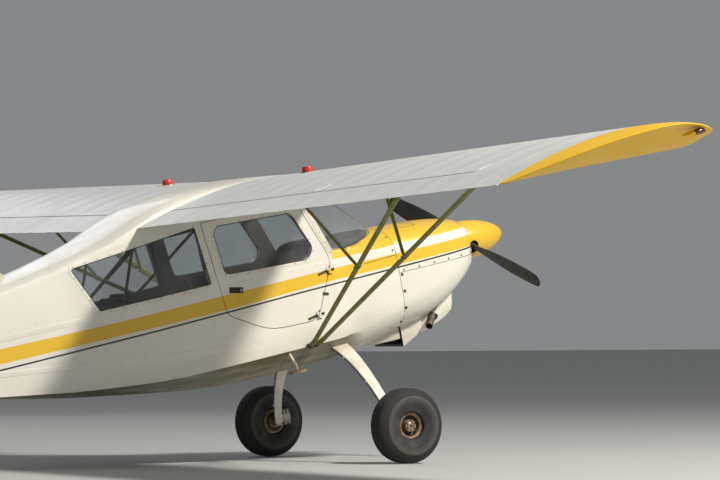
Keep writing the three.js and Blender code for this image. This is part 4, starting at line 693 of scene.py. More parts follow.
def make_pair(name, left, finishes, body, node=None, angle=35):
    for side, shape in (("left", left), ("right", left.mirror())):
        stands_for = [node + "_" + side] if node else ()
        make(name + "_" + side, shape, finishes, body.format(side), stands_for, angle)


print("points closer than", ALIKE * 1000, "mm are merged")

# %% [markdown]
# The wing's section is a cambered foil: a line of camber with half a thickness on each side. The
# formula gives the height of both skins at any part of the chord, so the same few numbers shape the
# panel, its flap and aileron, and the tip.

# %% Section of the wing
CHORD = 1.524
CAMBER = 0.04
CAMBER_PLACE = 0.4
THICKNESS = 0.12
FOIL = (0.2969, -0.126, -0.3516, 0.2843, -0.1036)
WING_HEIGHT = 0.678
DIHEDRAL = math.radians(1.38)
INCIDENCE = math.radians(1.03)
TRAILING_EDGE_HALF = 0.003
HINGE_PART = 0.815


def skin_height(part, side):
    powers = (math.sqrt(max(part, 0.0)), part, part ** 2, part ** 3, part ** 4)
    half = 5 * THICKNESS * sum(factor * power for factor, power in zip(FOIL, powers))
    if part > 0.5:
        half = max(half, TRAILING_EDGE_HALF / CHORD)
    if part < CAMBER_PLACE:
        camber = CAMBER / CAMBER_PLACE ** 2 * (2 * CAMBER_PLACE * part - part ** 2)
    else:
        behind = 1 - 2 * CAMBER_PLACE + 2 * CAMBER_PLACE * part - part ** 2
        camber = CAMBER / (1 - CAMBER_PLACE) ** 2 * behind
    return (camber + side * half) * CHORD


def wing_point(part, height, out):
    aft = part * CHORD
    return Vector((
        -aft * math.cos(INCIDENCE) + height * math.sin(INCIDENCE),
        out,
        WING_HEIGHT + out * math.tan(DIHEDRAL) - aft * math.sin(INCIDENCE) + height * math.cos(INCIDENCE),
    ))


HINGE_HEIGHT = (skin_height(HINGE_PART, 1) + skin_height(HINGE_PART, -1)) / 2
NOSE_RADIUS = (skin_height(HINGE_PART, 1) - skin_height(HINGE_PART, -1)) / 2
COVE_GAP = 0.006
COVE_PART = HINGE_PART - (NOSE_RADIUS + COVE_GAP) / CHORD
thickest = max(skin_height(part, 1) - skin_height(part, -1) for part in between(0.0, 1.0, 100))
print("the wing is", round(thickest, 3), "m thick")

# %% [markdown]
# Cloth shrinks tight over the ribs, so between two ribs both skins sink a few millimetres. The sheet
# metal of the leading edge doesn't, nor does the cloth at the rear spar, and in the nose the half ribs
# make two small hollows out of one. A sine wave over each bay, faded in and out along the chord,
# says all of that in one function.

# %% Sag of the fabric
SAG = 0.0078
SAG_ROUNDNESS = 0.8
NOSE_SAG = 0.6
METAL_NOSE_PART = 0.13
METAL_NOSE_FADE = 0.10
NOSE_RIB_PART = 0.37
NOSE_RIB_FADE = 0.05
SPAR_FLAT = 0.022
SPAR_FADE = 0.06


def limited(value):
    return min(max(value, 0.0), 1.0)


def sag_at(part, out):
    phase = ((out - WING_ROOT) / RIB_STEP) % 1.0
    full = math.sin(math.pi * phase) ** SAG_ROUNDNESS
    half = NOSE_SAG * math.sin(math.pi * ((2 * phase) % 1.0)) ** SAG_ROUNDNESS
    in_nose = limited((NOSE_RIB_PART - part) / NOSE_RIB_FADE + 0.5)
    behind_nose = limited((part - METAL_NOSE_PART) / METAL_NOSE_FADE)
    from_spar = limited((abs(part - HINGE_PART) - SPAR_FLAT) / SPAR_FADE)
    towards_edge = 1.0 - 0.6 * max((part - 0.8) / 0.2, 0.0)
    return SAG * (full + (half - full) * in_nose) * behind_nose ** 2 * from_spar * towards_edge


def skin_point(part, side, out):
    return wing_point(part, skin_height(part, side) - side * sag_at(part, out), out)


middle_of_bay = WING_ROOT + RIB_STEP / 2
print("the cloth sinks", round(1000 * sag_at(0.55, middle_of_bay), 1), "mm in the middle of a bay")

# %% [markdown]
# The panel is lofted through many stations along the span, and its rear part is left out where the
# flap and the aileron hang. The stations of a ring lie closer towards the leading edge, where the
# section bends most. Over the groove in front of a moving surface the skin runs on as a thin lip, and
# a plate with a pin holds the surface near each of its ends.

# %% Wing panels
STATIONS_PER_BAY = 8
LIP_THICKNESS = 0.0011
LIP_PROUD = 0.0003
LIP_START = 0.004
LIP_END = 0.010
FLAP_SPAN = (0.408, 2.372)
AILERON_SPAN = (2.384, 4.352)
LIPS = ((FLAP_SPAN, 1), (AILERON_SPAN, 1), (AILERON_SPAN, -1))
BAY_GAP = 0.004
BRACKET_MARGIN = 0.190
BRACKET_HALF = 0.004
BRACKET_OUTLINE = [(NOSE_RADIUS + 0.012, 0.013), (NOSE_RADIUS + 0.012, -0.013), (-0.003, -0.013),
                   (-0.010, -0.008), (-0.013, 0.0), (-0.010, 0.008), (-0.003, 0.013)]
PIN_HALF_LENGTH = 0.016
PIN_RADIUS = 0.0051
FRONT_PARTS = [COVE_PART * (1 - math.cos(math.pi * even / 2)) for even in between(0.0, 1.0, 26)]
ALL_PARTS = FRONT_PARTS + between(COVE_PART, 1.0, 8)[1:]
COVE_INDEX = len(FRONT_PARTS) - 1


def wing_ring(out):
    upper = [skin_point(part, 1, out) for part in reversed(ALL_PARTS)]
    lower = [skin_point(part, -1, out) for part in ALL_PARTS[1:]]
    return upper + lower


def bracket_plate(shape, out):
    hinge = wing_point(HINGE_PART, HINGE_HEIGHT, out)
    shape.loft([[hinge + Vector((a, side * BRACKET_HALF, b)) for a, b in BRACKET_OUTLINE]
                for side in (-1, 1)])
    pin = Vector((0, PIN_HALF_LENGTH, 0))
    shape.tube([hinge - pin, hinge + pin], PIN_RADIUS, 12)


def groove_lip(shape, low, high, side):
    parts = between(COVE_PART - LIP_START / CHORD, HINGE_PART - LIP_END / CHORD, 6)
    rings = []
    for out in between(low, high, 24):
        outer, inner = ([wing_point(part, skin_height(part, side) + side * lift, out) for part in parts]
                        for lift in (LIP_PROUD, LIP_PROUD - LIP_THICKNESS))
        rings.append(outer + inner[::-1])
    return shape.loft(rings)


def wing_stations():
    stations = {round(WING_ROOT + 0.0003, 4), TIP_RIB}
    for k in range(1, WING_BAYS * STATIONS_PER_BAY):
        stations.add(round(WING_ROOT + RIB_STEP * k / STATIONS_PER_BAY, 4))
    for low, high in (FLAP_SPAN, AILERON_SPAN):
        stations.update((round(low - BAY_GAP, 4), round(high + BAY_GAP, 4)))
    return sorted(stations)


def wing_panel():
    stations = wing_stations()
    upper_cove = len(ALL_PARTS) - 1 - COVE_INDEX
    lower_cove = len(ALL_PARTS) - 1 + COVE_INDEX
    gaps = []
    for low, high in (FLAP_SPAN, AILERON_SPAN):
        first, last = (stations.index(round(out, 4)) for out in (low - BAY_GAP, high + BAY_GAP))
        gaps.append((first, last, lower_cove, upper_cove))
    shape = Shape().loft([wing_ring(out) for out in stations], gaps=gaps)
    for (low, high), side in LIPS:
        groove_lip(shape, low - BAY_GAP, high + BAY_GAP, side)
    shape.finish(1)
    for low, high in (FLAP_SPAN, AILERON_SPAN):
        bracket_plate(shape, low + BRACKET_MARGIN)
        bracket_plate(shape, high - BRACKET_MARGIN)
    return shape


panel = wing_panel()
make_pair("wing_skin", panel, [wing_fabric, dark_metal], "airframe", "wing", 30)
print("faces in a wing panel:", len(panel.faces))

# %% [markdown]
# Flap and aileron are the wing's own rear end, closed in front by a round nose about the hinge. The
# nose is notched where a bracket holds it. Each rides on its own body, so it swings with its joint.

# %% Flaps and ailerons
NOTCH_HALF = 0.0092
NOTCH_AFT = 0.019
NOTCH_ROW = 9
NOSE_STEPS = 10


def surface_ring(out):
    parts = between(HINGE_PART, 1.0, NOTCH_ROW)
    parts.insert(1, HINGE_PART + NOTCH_AFT / CHORD)
    upper = [skin_point(part, 1, out) for part in reversed(parts)]
    lower = [skin_point(part, -1, out) for part in parts]
    nose = []
    for turn in between(0.0, math.pi, NOSE_STEPS)[1:-1]:
        ahead = NOSE_RADIUS * math.sin(turn) / CHORD
        nose.append(wing_point(HINGE_PART - ahead, HINGE_HEIGHT + NOSE_RADIUS * math.cos(turn), out))
    return upper + nose + lower


def surface(span):
    low, high = span
    notches = [(place - NOTCH_HALF, place + NOTCH_HALF)
               for place in (low + BRACKET_MARGIN, high - BRACKET_MARGIN)]
    stations = {low, high, *notches[0], *notches[1]}
    for out in between(WING_ROOT, TIP_RIB, WING_BAYS * STATIONS_PER_BAY):
        if low + BAY_GAP < out < high - BAY_GAP:
            stations.add(out)
    stations = sorted(stations)
    end = NOTCH_ROW + 3 + NOSE_STEPS
    gaps = [(stations.index(start), stations.index(stop), NOTCH_ROW, end) for start, stop in notches]
    return Shape().loft([surface_ring(out) for out in stations], gaps=gaps)


for name, span in (("flap", FLAP_SPAN), ("aileron", AILERON_SPAN)):
    left = surface(span)
    make_pair(name + "_skin", left, [wing_fabric], "{}_" + name, name, 32)
    print("faces in the", name, "skin:", len(left.faces))

# %% [markdown]
# The tip is a bow: the upper skin runs out and down to a sharp edge, and the under side hollows up to
# meet it. A few chosen points along the bow are enough, because a smooth curve through them gives all
# the columns between. A thin rim follows the edge, and a lamp with a maroon lens and a yellow fairing
# sits in it near the front.

# %% Wing tips
TIP_EDGE = [
    (0.985, 5.045, 0.000), (0.930, 5.140, 0.000), (0.815, 5.264, 0.002), (0.680, 5.367, 0.004),
    (0.540, 5.441, 0.007), (0.400, 5.492, 0.013), (0.280, 5.510, 0.026), (0.180, 5.470, 0.046),
    (0.100, 5.372, 0.058), (0.050, 5.255, 0.053), (0.020, 5.160, 0.038), (0.005, 5.070, 0.018),
]
TIP_STEPS_PER_POINT = 4
TIP_UNDER_STEPS = 15
LAMP_PART = 0.20
LAMP_OUT = 5.440
LAMP_HEIGHT = 0.048
LENS = [(-0.062, 0.10), (-0.052, 0.55), (-0.030, 0.9), (0.0, 1.0), (0.022, 0.92), (0.036, 0.66),
        (0.043, 0.30)]
LAMP_FAIRING = [(-0.135, 0.08), (-0.110, 0.45), (-0.080, 0.78), (-0.055, 0.92), (-0.046, 0.98)]


def smooth_through(rows, steps):
    out = []
    last = len(rows) - 1
    for i in range(last):
        four = [rows[min(max(k, 0), last)] for k in range(i - 1, i + 3)]
        for t in between(0.0, 1.0, steps)[:-1]:
            out.append(tuple(
                0.5 * (2 * b + (c - a) * t + (2 * a - 5 * b + 4 * c - d) * t ** 2
                       + (3 * b - a - 3 * c + d) * t ** 3)
                for a, b, c, d in zip(*four)))
    return out + [tuple(rows[-1])]


def tip_column(part, edge, drop):
    top, low = skin_height(part, 1), skin_height(part, -1)
    start = TIP_RIB + 0.0003
    reach = edge - start
    upper = [wing_point(part, top - drop * (k / 9) ** 3, start + reach * k / 9) for k in range(10)]
    under = []
    for k in range(TIP_UNDER_STEPS + 1):
        along = 1 - k / TIP_UNDER_STEPS
        ease = along ** 1.5
        rise = ease * ease * (3 - 2 * ease)
        under.append(wing_point(part, low + (top - drop - 0.005 - low) * rise, start + reach * along))
    return upper + under


def wing_tip():
    edge = smooth_through(TIP_EDGE, TIP_STEPS_PER_POINT)
    columns = [tip_column(max(part, 0.0008), out, drop) for part, out, drop in edge]
    shape = Shape().loft(columns)
    rim = [column[9] * 0.5 + column[10] * 0.5 for column in columns[1:]]
    scales = [min(1.0, 0.25 + 0.75 * min(k, len(rim) - 1 - k) / 5) for k in range(len(rim))]
    shape.tube(rim, 0.0055, 8, scales=scales)
    return shape


def tip_lamp():
    seat = wing_point(LAMP_PART, LAMP_HEIGHT, LAMP_OUT)
    shape = Shape()
    parts = ((LENS, Vector((0, 0.006, 0.006)), 0.026), (LAMP_FAIRING, Vector((0, 0, 0.002)), 0.027))
    for index, (stations, shift, width) in enumerate(parts):
        path = [seat + shift + Vector((x, 0, 0)) for x, _ in stations]
        shape.finish(index).tube(path, 0.021, 18, width=width, scales=[scale for _, scale in stations])
    return shape


tip = wing_tip()
make_pair("tip_bow", tip, [tip_yellow], "airframe", "wing_tip", 40)
make_pair("tip_lamp", tip_lamp(), [lens_maroon, tip_yellow], "airframe", angle=40)
print("tip faces:", len(tip.faces))

# %% [markdown]
# A tyre is a closed ring turned about its axle. Its tread has a few grooves that run round it, and
# the wall carries two fine mould lines, all drawn in the profile, so they are real relief. The rubber
# has two tones, told apart by how far a point lies from the axle: a dusty wall whose outer ring is
# lighter, part dust and part painted highlight, and a dark tread. The hub is turned the same way in
# the next cell.

# %% Tyres
AXLE = Vector((0.045, 0.0, -1.131))
WHEEL_MIDDLE = AXLE + Vector((0, 0.993, 0))
TYRE_RADIUS = 0.277
TYRE_HALF = 0.104
GROOVES = (-0.052, -0.026, 0.0, 0.026, 0.052)
GROOVE_HALF = 0.0032
GROOVE_EDGE = 0.0012
GROOVE_DEPTH = 0.0045
CROWN_DROP = 0.0016
CROWN_CURVE = 0.9
TYRE_WALL = [
    (0.0465, 0.0804), (0.0468, 0.094), (0.060, 0.099), (0.080, 0.107), (0.0815, 0.1065), (0.083, 0.110),
    (0.0905, 0.128), (0.0965, 0.150), (0.0980, 0.1505), (0.1015, 0.172), (0.1035, 0.190), (TYRE_HALF, 0.200),
    (0.1034, 0.2080), (0.1012, 0.2145), (0.0975, 0.2185), (0.0955, 0.2195), (0.0905, 0.2325),
    (0.0835, 0.2450), (0.0765, 0.2540), (0.0700, 0.2620), (0.0620, 0.2680),
]


def from_axle(finish, level, axle):
    spoke = finish.vectors("SUBTRACT", level, (axle.x, 0.0, axle.z))
    return finish.vectors("LENGTH", finish.vectors("MULTIPLY", spoke, (1.0, 0.0, 1.0)), result="Value")


def make_rubber(name, axle, radius):
    finish = Finish(name, 0.78)
    level = finish.level()
    dust, fine = finish.noise(level, 9.0, 6.0), finish.noise(level, 60.0, 3.0)
    away = from_axle(finish, level, axle)
    # The wall's outer ring is lighter: part dust, part painted highlight.
    dust_and_sheen = finish.ramp(away, 0.58 * radius, 0.75 * radius, 0.0, 0.55)
    tread = finish.ramp(away, 0.78 * radius, 0.80 * radius, 0.0, 0.85)
    dusty = finish.blend(finish.ramp(dust, 0.45, 0.78), rgb(0.026, 0.026, 0.027), rgb(0.070, 0.063, 0.053))
    walled = finish.blend(dust_and_sheen, dusty, rgb(0.105, 0.094, 0.080))
    finish.set(Base_Color=finish.blend(tread, walled, rgb(0.010, 0.010, 0.011)),
               Roughness=finish.ramp(fine, 0.3, 0.7, 0.66, 0.92))
    finish.bump(finish.maths("ADD", finish.times(dust, 0.4), fine), 0.3, 0.001)
    return finish.material


def both_ways(half):
    return [(-along, radius) for along, radius in half] + half[::-1]


def groove(centre):
    top = TYRE_RADIUS - CROWN_DROP - CROWN_CURVE * centre ** 2
    edge, low = GROOVE_HALF + GROOVE_EDGE, top - GROOVE_DEPTH
    return [(centre - edge, top), (centre - GROOVE_HALF, low),
            (centre + GROOVE_HALF, low), (centre + edge, top)]


def main_tyre():
    profile = both_ways(TYRE_WALL)
    tread = [point for centre in GROOVES for point in groove(centre)]
    profile[len(TYRE_WALL):len(TYRE_WALL)] = tread
    return Shape().turned(profile, WHEEL_MIDDLE, (0, 1, 0), 96, closed=True)


tyre_rubber = make_rubber("tyre_rubber", AXLE, TYRE_RADIUS)
tyre = main_tyre()
make_pair("main_tyre", tyre, [tyre_rubber], "{}_wheel", "tyre", 38)
print("tyre faces:", len(tyre.faces))

# %% [markdown]
# A wheel's hub is one profile turned about the axle: the brake disc inboard, the rim with its rolled
# flange, a hollow, and a raised ring with bolts. Small radii break its steps, because a real spun
# rim has no sharp edge. In the hollow the rust is darkened almost to black, a painted shade, again by
# the distance from the axle. A steel cap with a nut closes the axle's end, and a brass valve stands
# out of the rim.

# %% Hubs
HUB_FACE = [
    (0.0565, 0.0962), (0.0592, 0.0935), (0.0596, 0.0880), (0.0580, 0.0835), (0.0540, 0.0800),
    (0.0445, 0.0735),
    (0.0300, 0.0690), (0.0240, 0.0600), (0.0235, 0.0520), (0.0260, 0.0475), (0.0450, 0.0460),
    (0.0560, 0.0450),
    (0.0600, 0.0425), (0.0608, 0.0390), (0.0598, 0.0300), (0.0560, 0.0285), (0.0560, 0.0169),
]
HUB_INNER = [
    (-0.0880, 0.0169), (-0.0880, 0.0892), (-0.0868, 0.0900), (-0.0832, 0.0900), (-0.0820, 0.0892),
    (-0.0820, 0.0530), (-0.0620, 0.0520), (-0.0590, 0.0930), (-0.0565, 0.0962), (-0.0480, 0.0962),
    (-0.0474, 0.0803), (0.0474, 0.0803), (0.0480, 0.0962),
]
AXLE_CAP = [(0.0562, 0.0), (0.0562, 0.0268), (0.0602, 0.0264), (0.0622, 0.0225), (0.0626, 0.0125),
            (0.0626, 0.0)]
AXLE_NUT = [(0.0628, 0.0), (0.0628, 0.0085), (0.0672, 0.0078), (0.0672, 0.0)]
HUB_BOLT = [(0.0600, 0.0), (0.0600, 0.0058), (0.0650, 0.0058), (0.0662, 0.0040), (0.0662, 0.0)]
HUB_BOLTS = 6
HUB_BOLT_RING = 0.0352
HOLLOW_INNER = (0.0462, 0.0480)
HOLLOW_OUTER = (0.0790, 0.0740)
VALVE_FOOT = Vector((0.043, 0.0245, -0.041))
VALVE_REACH = Vector((0.001, 0.034, -0.001))


def make_hub_paint():
    finish = Finish("hub_rust", 0.55, 0.4)
    level = finish.level()
    away = from_axle(finish, level, AXLE)
    # Painted shade: the rust turns near black in the hub's hollow.
    hollow_shade = finish.times(finish.ramp(away, *HOLLOW_INNER), finish.ramp(away, *HOLLOW_OUTER), 0.9)
    rusty = finish.mottled(finish.noise(level, 24.0, 5.0), rgb(0.40, 0.27, 0.16), rgb(0.18, 0.105, 0.065))
    finish.set(Base_Color=finish.blend(hollow_shade, rusty, rgb(0.02, 0.016, 0.013)))
    finish.bump(finish.noise(level, 200.0, 3.0), 0.25, 0.0008)
    return finish.material


def axle_end():
    shape = Shape().finish(0).turned(AXLE_CAP, WHEEL_MIDDLE, (0, 1, 0), 36)
    shape.finish(1).turned(AXLE_NUT, WHEEL_MIDDLE, (0, 1, 0), 6)
    for turn in around(HUB_BOLTS):
        turn += 0.3 * 2 * math.pi / HUB_BOLTS
        place = WHEEL_MIDDLE + Vector((math.cos(turn), 0, math.sin(turn))) * HUB_BOLT_RING
        shape.turned(HUB_BOLT, place, (0, 1, 0), 6)
    valve = WHEEL_MIDDLE + VALVE_FOOT
    return shape.finish(2).tube([valve, valve + VALVE_REACH], 0.0045, 10, scales=[1.2, 0.8])


hub_rust = make_hub_paint()
brass = make_paint("valve_brass", rgb(0.55, 0.42, 0.10), rgb(0.36, 0.26, 0.07), 0.35, 0.9, scale=30.0)
hub = Shape().turned(HUB_INNER + HUB_FACE, WHEEL_MIDDLE, (0, 1, 0), 72, closed=True)
make_pair("wheel_hub", hub, [hub_rust], "{}_wheel", "hub", 28)
make_pair("wheel_cap", axle_end(), [bare_steel, dark_metal, brass], "{}_wheel", angle=30)
print("hub profile points:", len(HUB_INNER) + len(HUB_FACE))

# %% [markdown]
# A fixed-pitch metal propeller is one forging. Its section turns from thick and steep at the hub to
# thin and flat at the tip. Eight stations describe it, and a smooth curve through them gives the rest.
# The section is a foil: flat behind, round in front.

# %% Propeller
PROPELLER_RADIUS = 1.004
PROPELLER_ANGLE = math.radians(110.3)
SPINNER_BACK = 1.424
SPINNER_TIP = 1.840
SPINNER_RADIUS = 0.156
BLADE = [
    (0.05, 0.072, 0.062, 62.0), (0.13, 0.086, 0.050, 52.0), (0.24, 0.118, 0.034, 42.0),
    (0.40, 0.142, 0.024, 31.0), (0.60, 0.146, 0.017, 23.0), (0.80, 0.132, 0.012, 18.0),
    (0.93, 0.112, 0.009, 15.0), (1.00, 0.084, 0.007, 14.0),
]
BLADE_STEPS = 5
SECTION_POINTS = 28
TIP_ROUNDING = 0.955
BOSS = [(-0.0502, 0.0), (-0.0502, 0.062), (-0.0482, 0.066), (0.038, 0.066), (0.042, 0.062), (0.042, 0.0)]
BLADE_TURNS = (PROPELLER_ANGLE, PROPELLER_ANGLE + math.pi)


def blade_ring(part, chord, thick, pitch, turn):
    reach = part * PROPELLER_RADIUS
    lean = math.radians(pitch)
    towards_tip = max((part - TIP_ROUNDING) / (1 - TIP_ROUNDING), 0.0)
    narrow = math.sqrt(max(1 - towards_tip ** 2.2, 0.02))
    ring = []
    for place in around(SECTION_POINTS):
        along = math.cos(place) * 0.5 * chord * narrow
        swell = abs(math.sin(place)) * (1 + 0.32 * math.cos(place))
        over = thick * swell * (0.56 if math.sin(place) > 0 else -0.30)
        across = along * math.cos(lean) - over * math.sin(lean)
        ahead = along * math.sin(lean) + over * math.cos(lean)
        ring.append(Vector((
            PROPELLER_X + ahead,
            -reach * math.sin(turn) - across * math.cos(turn),
            reach * math.cos(turn) - across * math.sin(turn),
        )))
    return ring


def propeller():
    shape = Shape()
    rows = smooth_through(BLADE, BLADE_STEPS)
    for turn in BLADE_TURNS:
        shape.loft([blade_ring(*row, turn) for row in rows])
    return shape.turned(BOSS, (PROPELLER_X, 0, 0), (1, 0, 0), 48)


make("propeller_blades", propeller(), [blade_dark], "airscrew", ["propeller"], 42)
print("propeller, tip to tip:", 2 * PROPELLER_RADIUS, "m")

# %% [markdown]
# The spinner is a thin spun shell, so it has an outer and an inner curve, and its edge shows where a
# blade comes through. The two blade openings are cut with a Boolean, and the cut is applied.

# %% Spinner
SPINNER_WALL = 0.004
SPINNER_STEPS = 30
BLADE_OPENING = (0.046, 0.052)
OPENING_REACH = (0.090, 0.26)
BACK_HOLE = 0.068


def spinner_curve(shrink):
    rows = []
    length = SPINNER_TIP - SPINNER_BACK - shrink * 1.5
    for even in between(0.0, 1.0, SPINNER_STEPS):
        part = even ** 0.9
        radius = (SPINNER_RADIUS - shrink) * max(1 - part ** 2.1, 0.0) ** 0.62
        rows.append((SPINNER_BACK + shrink * 0.5 + length * part, radius))
    return rows


def plain_mesh(obj):
    ready = obj.evaluated_get(bpy.context.evaluated_depsgraph_get())
    mesh = bpy.data.meshes.new_from_object(ready)
    bpy.data.objects.remove(obj)
    return mesh


def cut_away(mesh, cutter_shape):
    solid = bpy.data.objects.new("cut_from", mesh)
    cutter = bpy.data.objects.new("cutter", cutter_shape.mesh("cutter", [], 30))
    for obj in (solid, cutter):
        bpy.context.scene.collection.objects.link(obj)
    modifier = solid.modifiers.new("cut", "BOOLEAN")
    modifier.operation = "DIFFERENCE"
    modifier.object = cutter
    result = plain_mesh(solid)
    bpy.data.objects.remove(cutter)
    return result


def spinner_mesh():
    outer, inner = spinner_curve(0.0), spinner_curve(SPINNER_WALL)
    plate = SPINNER_BACK + SPINNER_WALL
    rear = [(SPINNER_BACK, BACK_HOLE), (SPINNER_BACK, SPINNER_RADIUS - 0.003),
            (SPINNER_BACK + 0.003, SPINNER_RADIUS)]
    front = [(plate, SPINNER_RADIUS - SPINNER_WALL), (plate, BACK_HOLE)]
    profile = rear + outer[1:-1] + [(SPINNER_TIP, 0.0002), (inner[-1][0], 0.0002)] + inner[-2:0:-1] + front
    shell = Shape().turned(profile, (0, 0, 0), (1, 0, 0), 72, closed=True)
    opening = Shape()
    for turn in BLADE_TURNS:
        out = Vector((0, -math.sin(turn), math.cos(turn)))
        path = [Vector((PROPELLER_X, 0, 0)) + out * reach for reach in OPENING_REACH]
        opening.tube(path, BLADE_OPENING[0], 32, width=BLADE_OPENING[1], near=(1, 0, 0))
    mesh = cut_away(shell.mesh("spinner_shell", [yellow_gloss], 40), opening)
    return tidy_mesh(mesh, [], 40)


mount("spinner_shell", spinner_mesh(), "airscrew", ["spinner"])
print("spinner faces:", len(made[-1].data.polygons))

# %% [markdown]
# Screws, straps and frames lie on the painted skins, so they have to know where the skin is. A search
# tree over the packed solids answers that. A ray sent in from the side stops where it meets the skin
# and tells which way the skin faces. The outermost of five close rays is used, so no ray is lost in a
# door's gap.

# %% Finding the skin
FROM_STANDING = LEVEL_MATRIX.inverted()
BODY_SKINS = [
    "side_wall_left", "side_wall_right", "roof_fairing", "boot_cowl", "rear_fuselage", "belly_floor",
    "engine_cowl_upper", "engine_cowl_lower", "door_right", "door_window", "window_front_left",
    "window_rear_left", "window_rear_right", "windscreen",
]
NEAR_RAYS = [(0.0, 0.0), (0.002, 0.0), (-0.002, 0.0), (0.0, 0.002), (0.0, -0.002)]
RAY_START = 3.0
CLEARLY_OUTER = 0.0004


def skin_tree(names):
    points, triangles = [], []
    for name in names:
        start = len(points)
        matrix = FROM_STANDING @ nodes[name].matrix_world
        points.extend(matrix @ vertex.co for vertex in nodes[name].data.vertices)
        triangles.extend([start + i for i in face.vertices] for face in nodes[name].data.polygons)
    return BVHTree.FromPolygons(points, triangles)


bpy.context.view_layer.update()
body_tree = skin_tree(BODY_SKINS)


def hit(tree, start, way):
    place, normal, _, _ = tree.ray_cast(Vector(start), Vector(way))
    return place, normal if place is None or normal.dot(Vector(way)) < 0 else -normal


def from_side(x, z, side):
    best = None
    for dx, dz in NEAR_RAYS:
        place, normal = hit(body_tree, (x + dx, side * RAY_START, z + dz), (0, -side, 0))
        if place is not None and (best is None or abs(place.y) > abs(best[0].y) + CLEARLY_OUTER):
            best = (place, normal)
    place, normal = best
    return Vector((x, place.y, z)), normal


def from_above(x, y):
    return hit(body_tree, (x, y, RAY_START), (0, 0, -1))


print("skin beside the door:", [round(value, 3) for value in from_side(-0.8, -0.1, -1)[0]])

# %% [markdown]
# A screw row is a path on the skin with equal steps. Geometry Nodes turn the path's edges into a
# curve, take points at the wanted spacing, put a domed head on each, turn it to the skin's normal,
# and paint it. Each path carries that normal as an attribute, so one tree serves every row of screws.

# %% A tree that sets heads along rows
def new_tree(name, **inputs):
    tree = bpy.data.node_groups.new(name, "GeometryNodeTree")
    for label, kind in {"Geometry": "Geometry", **inputs}.items():
        kind = "NodeSocket" + kind
        tree.interface.new_socket(label.replace("_", " "), in_out="INPUT", socket_type=kind)
    tree.interface.new_socket("Geometry", in_out="OUTPUT", socket_type="NodeSocketGeometry")
    return tree, tree.nodes.new, tree.links.new


def fastener_tree():
    tree, new, link = new_tree("heads_along_rows", Spacing="Float", Head_radius="Float",
                               Head_height="Float", Finish="Material")
    start = new("NodeGroupInput")
    curve = new("GeometryNodeMeshToCurve")
    steps = new("GeometryNodeResampleCurve")
    steps.mode = "LENGTH"
    head = new("GeometryNodeMeshUVSphere")
    head.inputs["Segments"].default_value = 14
    head.inputs["Rings"].default_value = 7
    head.inputs["Radius"].default_value = 1.0
    rounded = new("GeometryNodeSetShadeSmooth")
    size = new("ShaderNodeCombineXYZ")
    normal = new("GeometryNodeInputNamedAttribute")
    normal.data_type = "FLOAT_VECTOR"
    normal.inputs["Name"].default_value = "skin_normal"
    turn = new("FunctionNodeAlignRotationToVector")
    turn.axis = "Z"
    heads = new("GeometryNodeInstanceOnPoints")
    real = new("GeometryNodeRealizeInstances")
    paint = new("GeometryNodeSetMaterial")
    end = new("NodeGroupOutput")
    link(start.outputs["Geometry"], curve.inputs["Mesh"])
    link(curve.outputs["Curve"], steps.inputs["Curve"])
    link(start.outputs["Spacing"], steps.inputs["Length"])
    link(head.outputs["Mesh"], rounded.inputs["Geometry"])
    for axis, name in (("X", "Head radius"), ("Y", "Head radius"), ("Z", "Head height")):
        link(start.outputs[name], size.inputs[axis])
    link(normal.outputs["Attribute"], turn.inputs["Vector"])
    link(steps.outputs["Curve"], heads.inputs["Points"])
    link(rounded.outputs["Geometry"], heads.inputs["Instance"])
    link(turn.outputs["Rotation"], heads.inputs["Rotation"])
    link(size.outputs["Vector"], heads.inputs["Scale"])
    link(heads.outputs["Instances"], real.inputs["Geometry"])
    link(real.outputs["Geometry"], paint.inputs["Geometry"])
    link(start.outputs["Finish"], paint.inputs["Material"])
    link(paint.outputs["Geometry"], end.inputs["Geometry"])
    return tree


def socket_id(tree, name):
    return next(item.identifier for item in tree.interface.items_tree
                if item.name == name and item.in_out == "INPUT")


fasteners = fastener_tree()
print("nodes in the tree of heads:", len(fasteners.nodes))

# %% [markdown]
# A row on the side of the fuselage is given as corners in x and z, filled up with even steps and looked
# up on the skin. The cowl is held by small screws along its seams and by larger latches at the
# firewall. The guide that carries a row is removed once its heads are real geometry.

# %% Screws and latches of the cowl
def screw_rows(name, rows, body, finish, spacing, radius, height):
    points, normals, edges = [], [], []
    for row in rows:
        first = len(points)
        for place, normal in row:
            points.append(LEVEL_MATRIX @ place)
            normals.extend(LEVEL_TURN @ normal)
        edges.extend((first + k, first + k + 1) for k in range(len(row) - 1))
    guide = bpy.data.meshes.new(name)
    guide.from_pydata(points, edges, [])
    guide.attributes.new("skin_normal", "FLOAT_VECTOR", "POINT").data.foreach_set("vector", normals)
    obj = bpy.data.objects.new("guide", guide)
    bpy.context.scene.collection.objects.link(obj)
    modifier = obj.modifiers.new("heads", "NODES")
    modifier.node_group = fasteners
    values = {"Spacing": spacing, "Head radius": radius, "Head height": height, "Finish": finish}
    for key, value in values.items():
        modifier[socket_id(fasteners, key)] = value
    mesh = plain_mesh(obj)
    mesh.name = name
    return mount(name, mesh, body)


def side_row(points, side, steps=12):
    row = []
    for (x0, z0), (x1, z1) in zip(points, points[1:]):
        row += [from_side(x, z, side) for x, z in zip(between(x0, x1, steps), between(z0, z1, steps))]
    return row


def raised(row, height):
    return [(place + normal * height, normal) for place, normal in row]


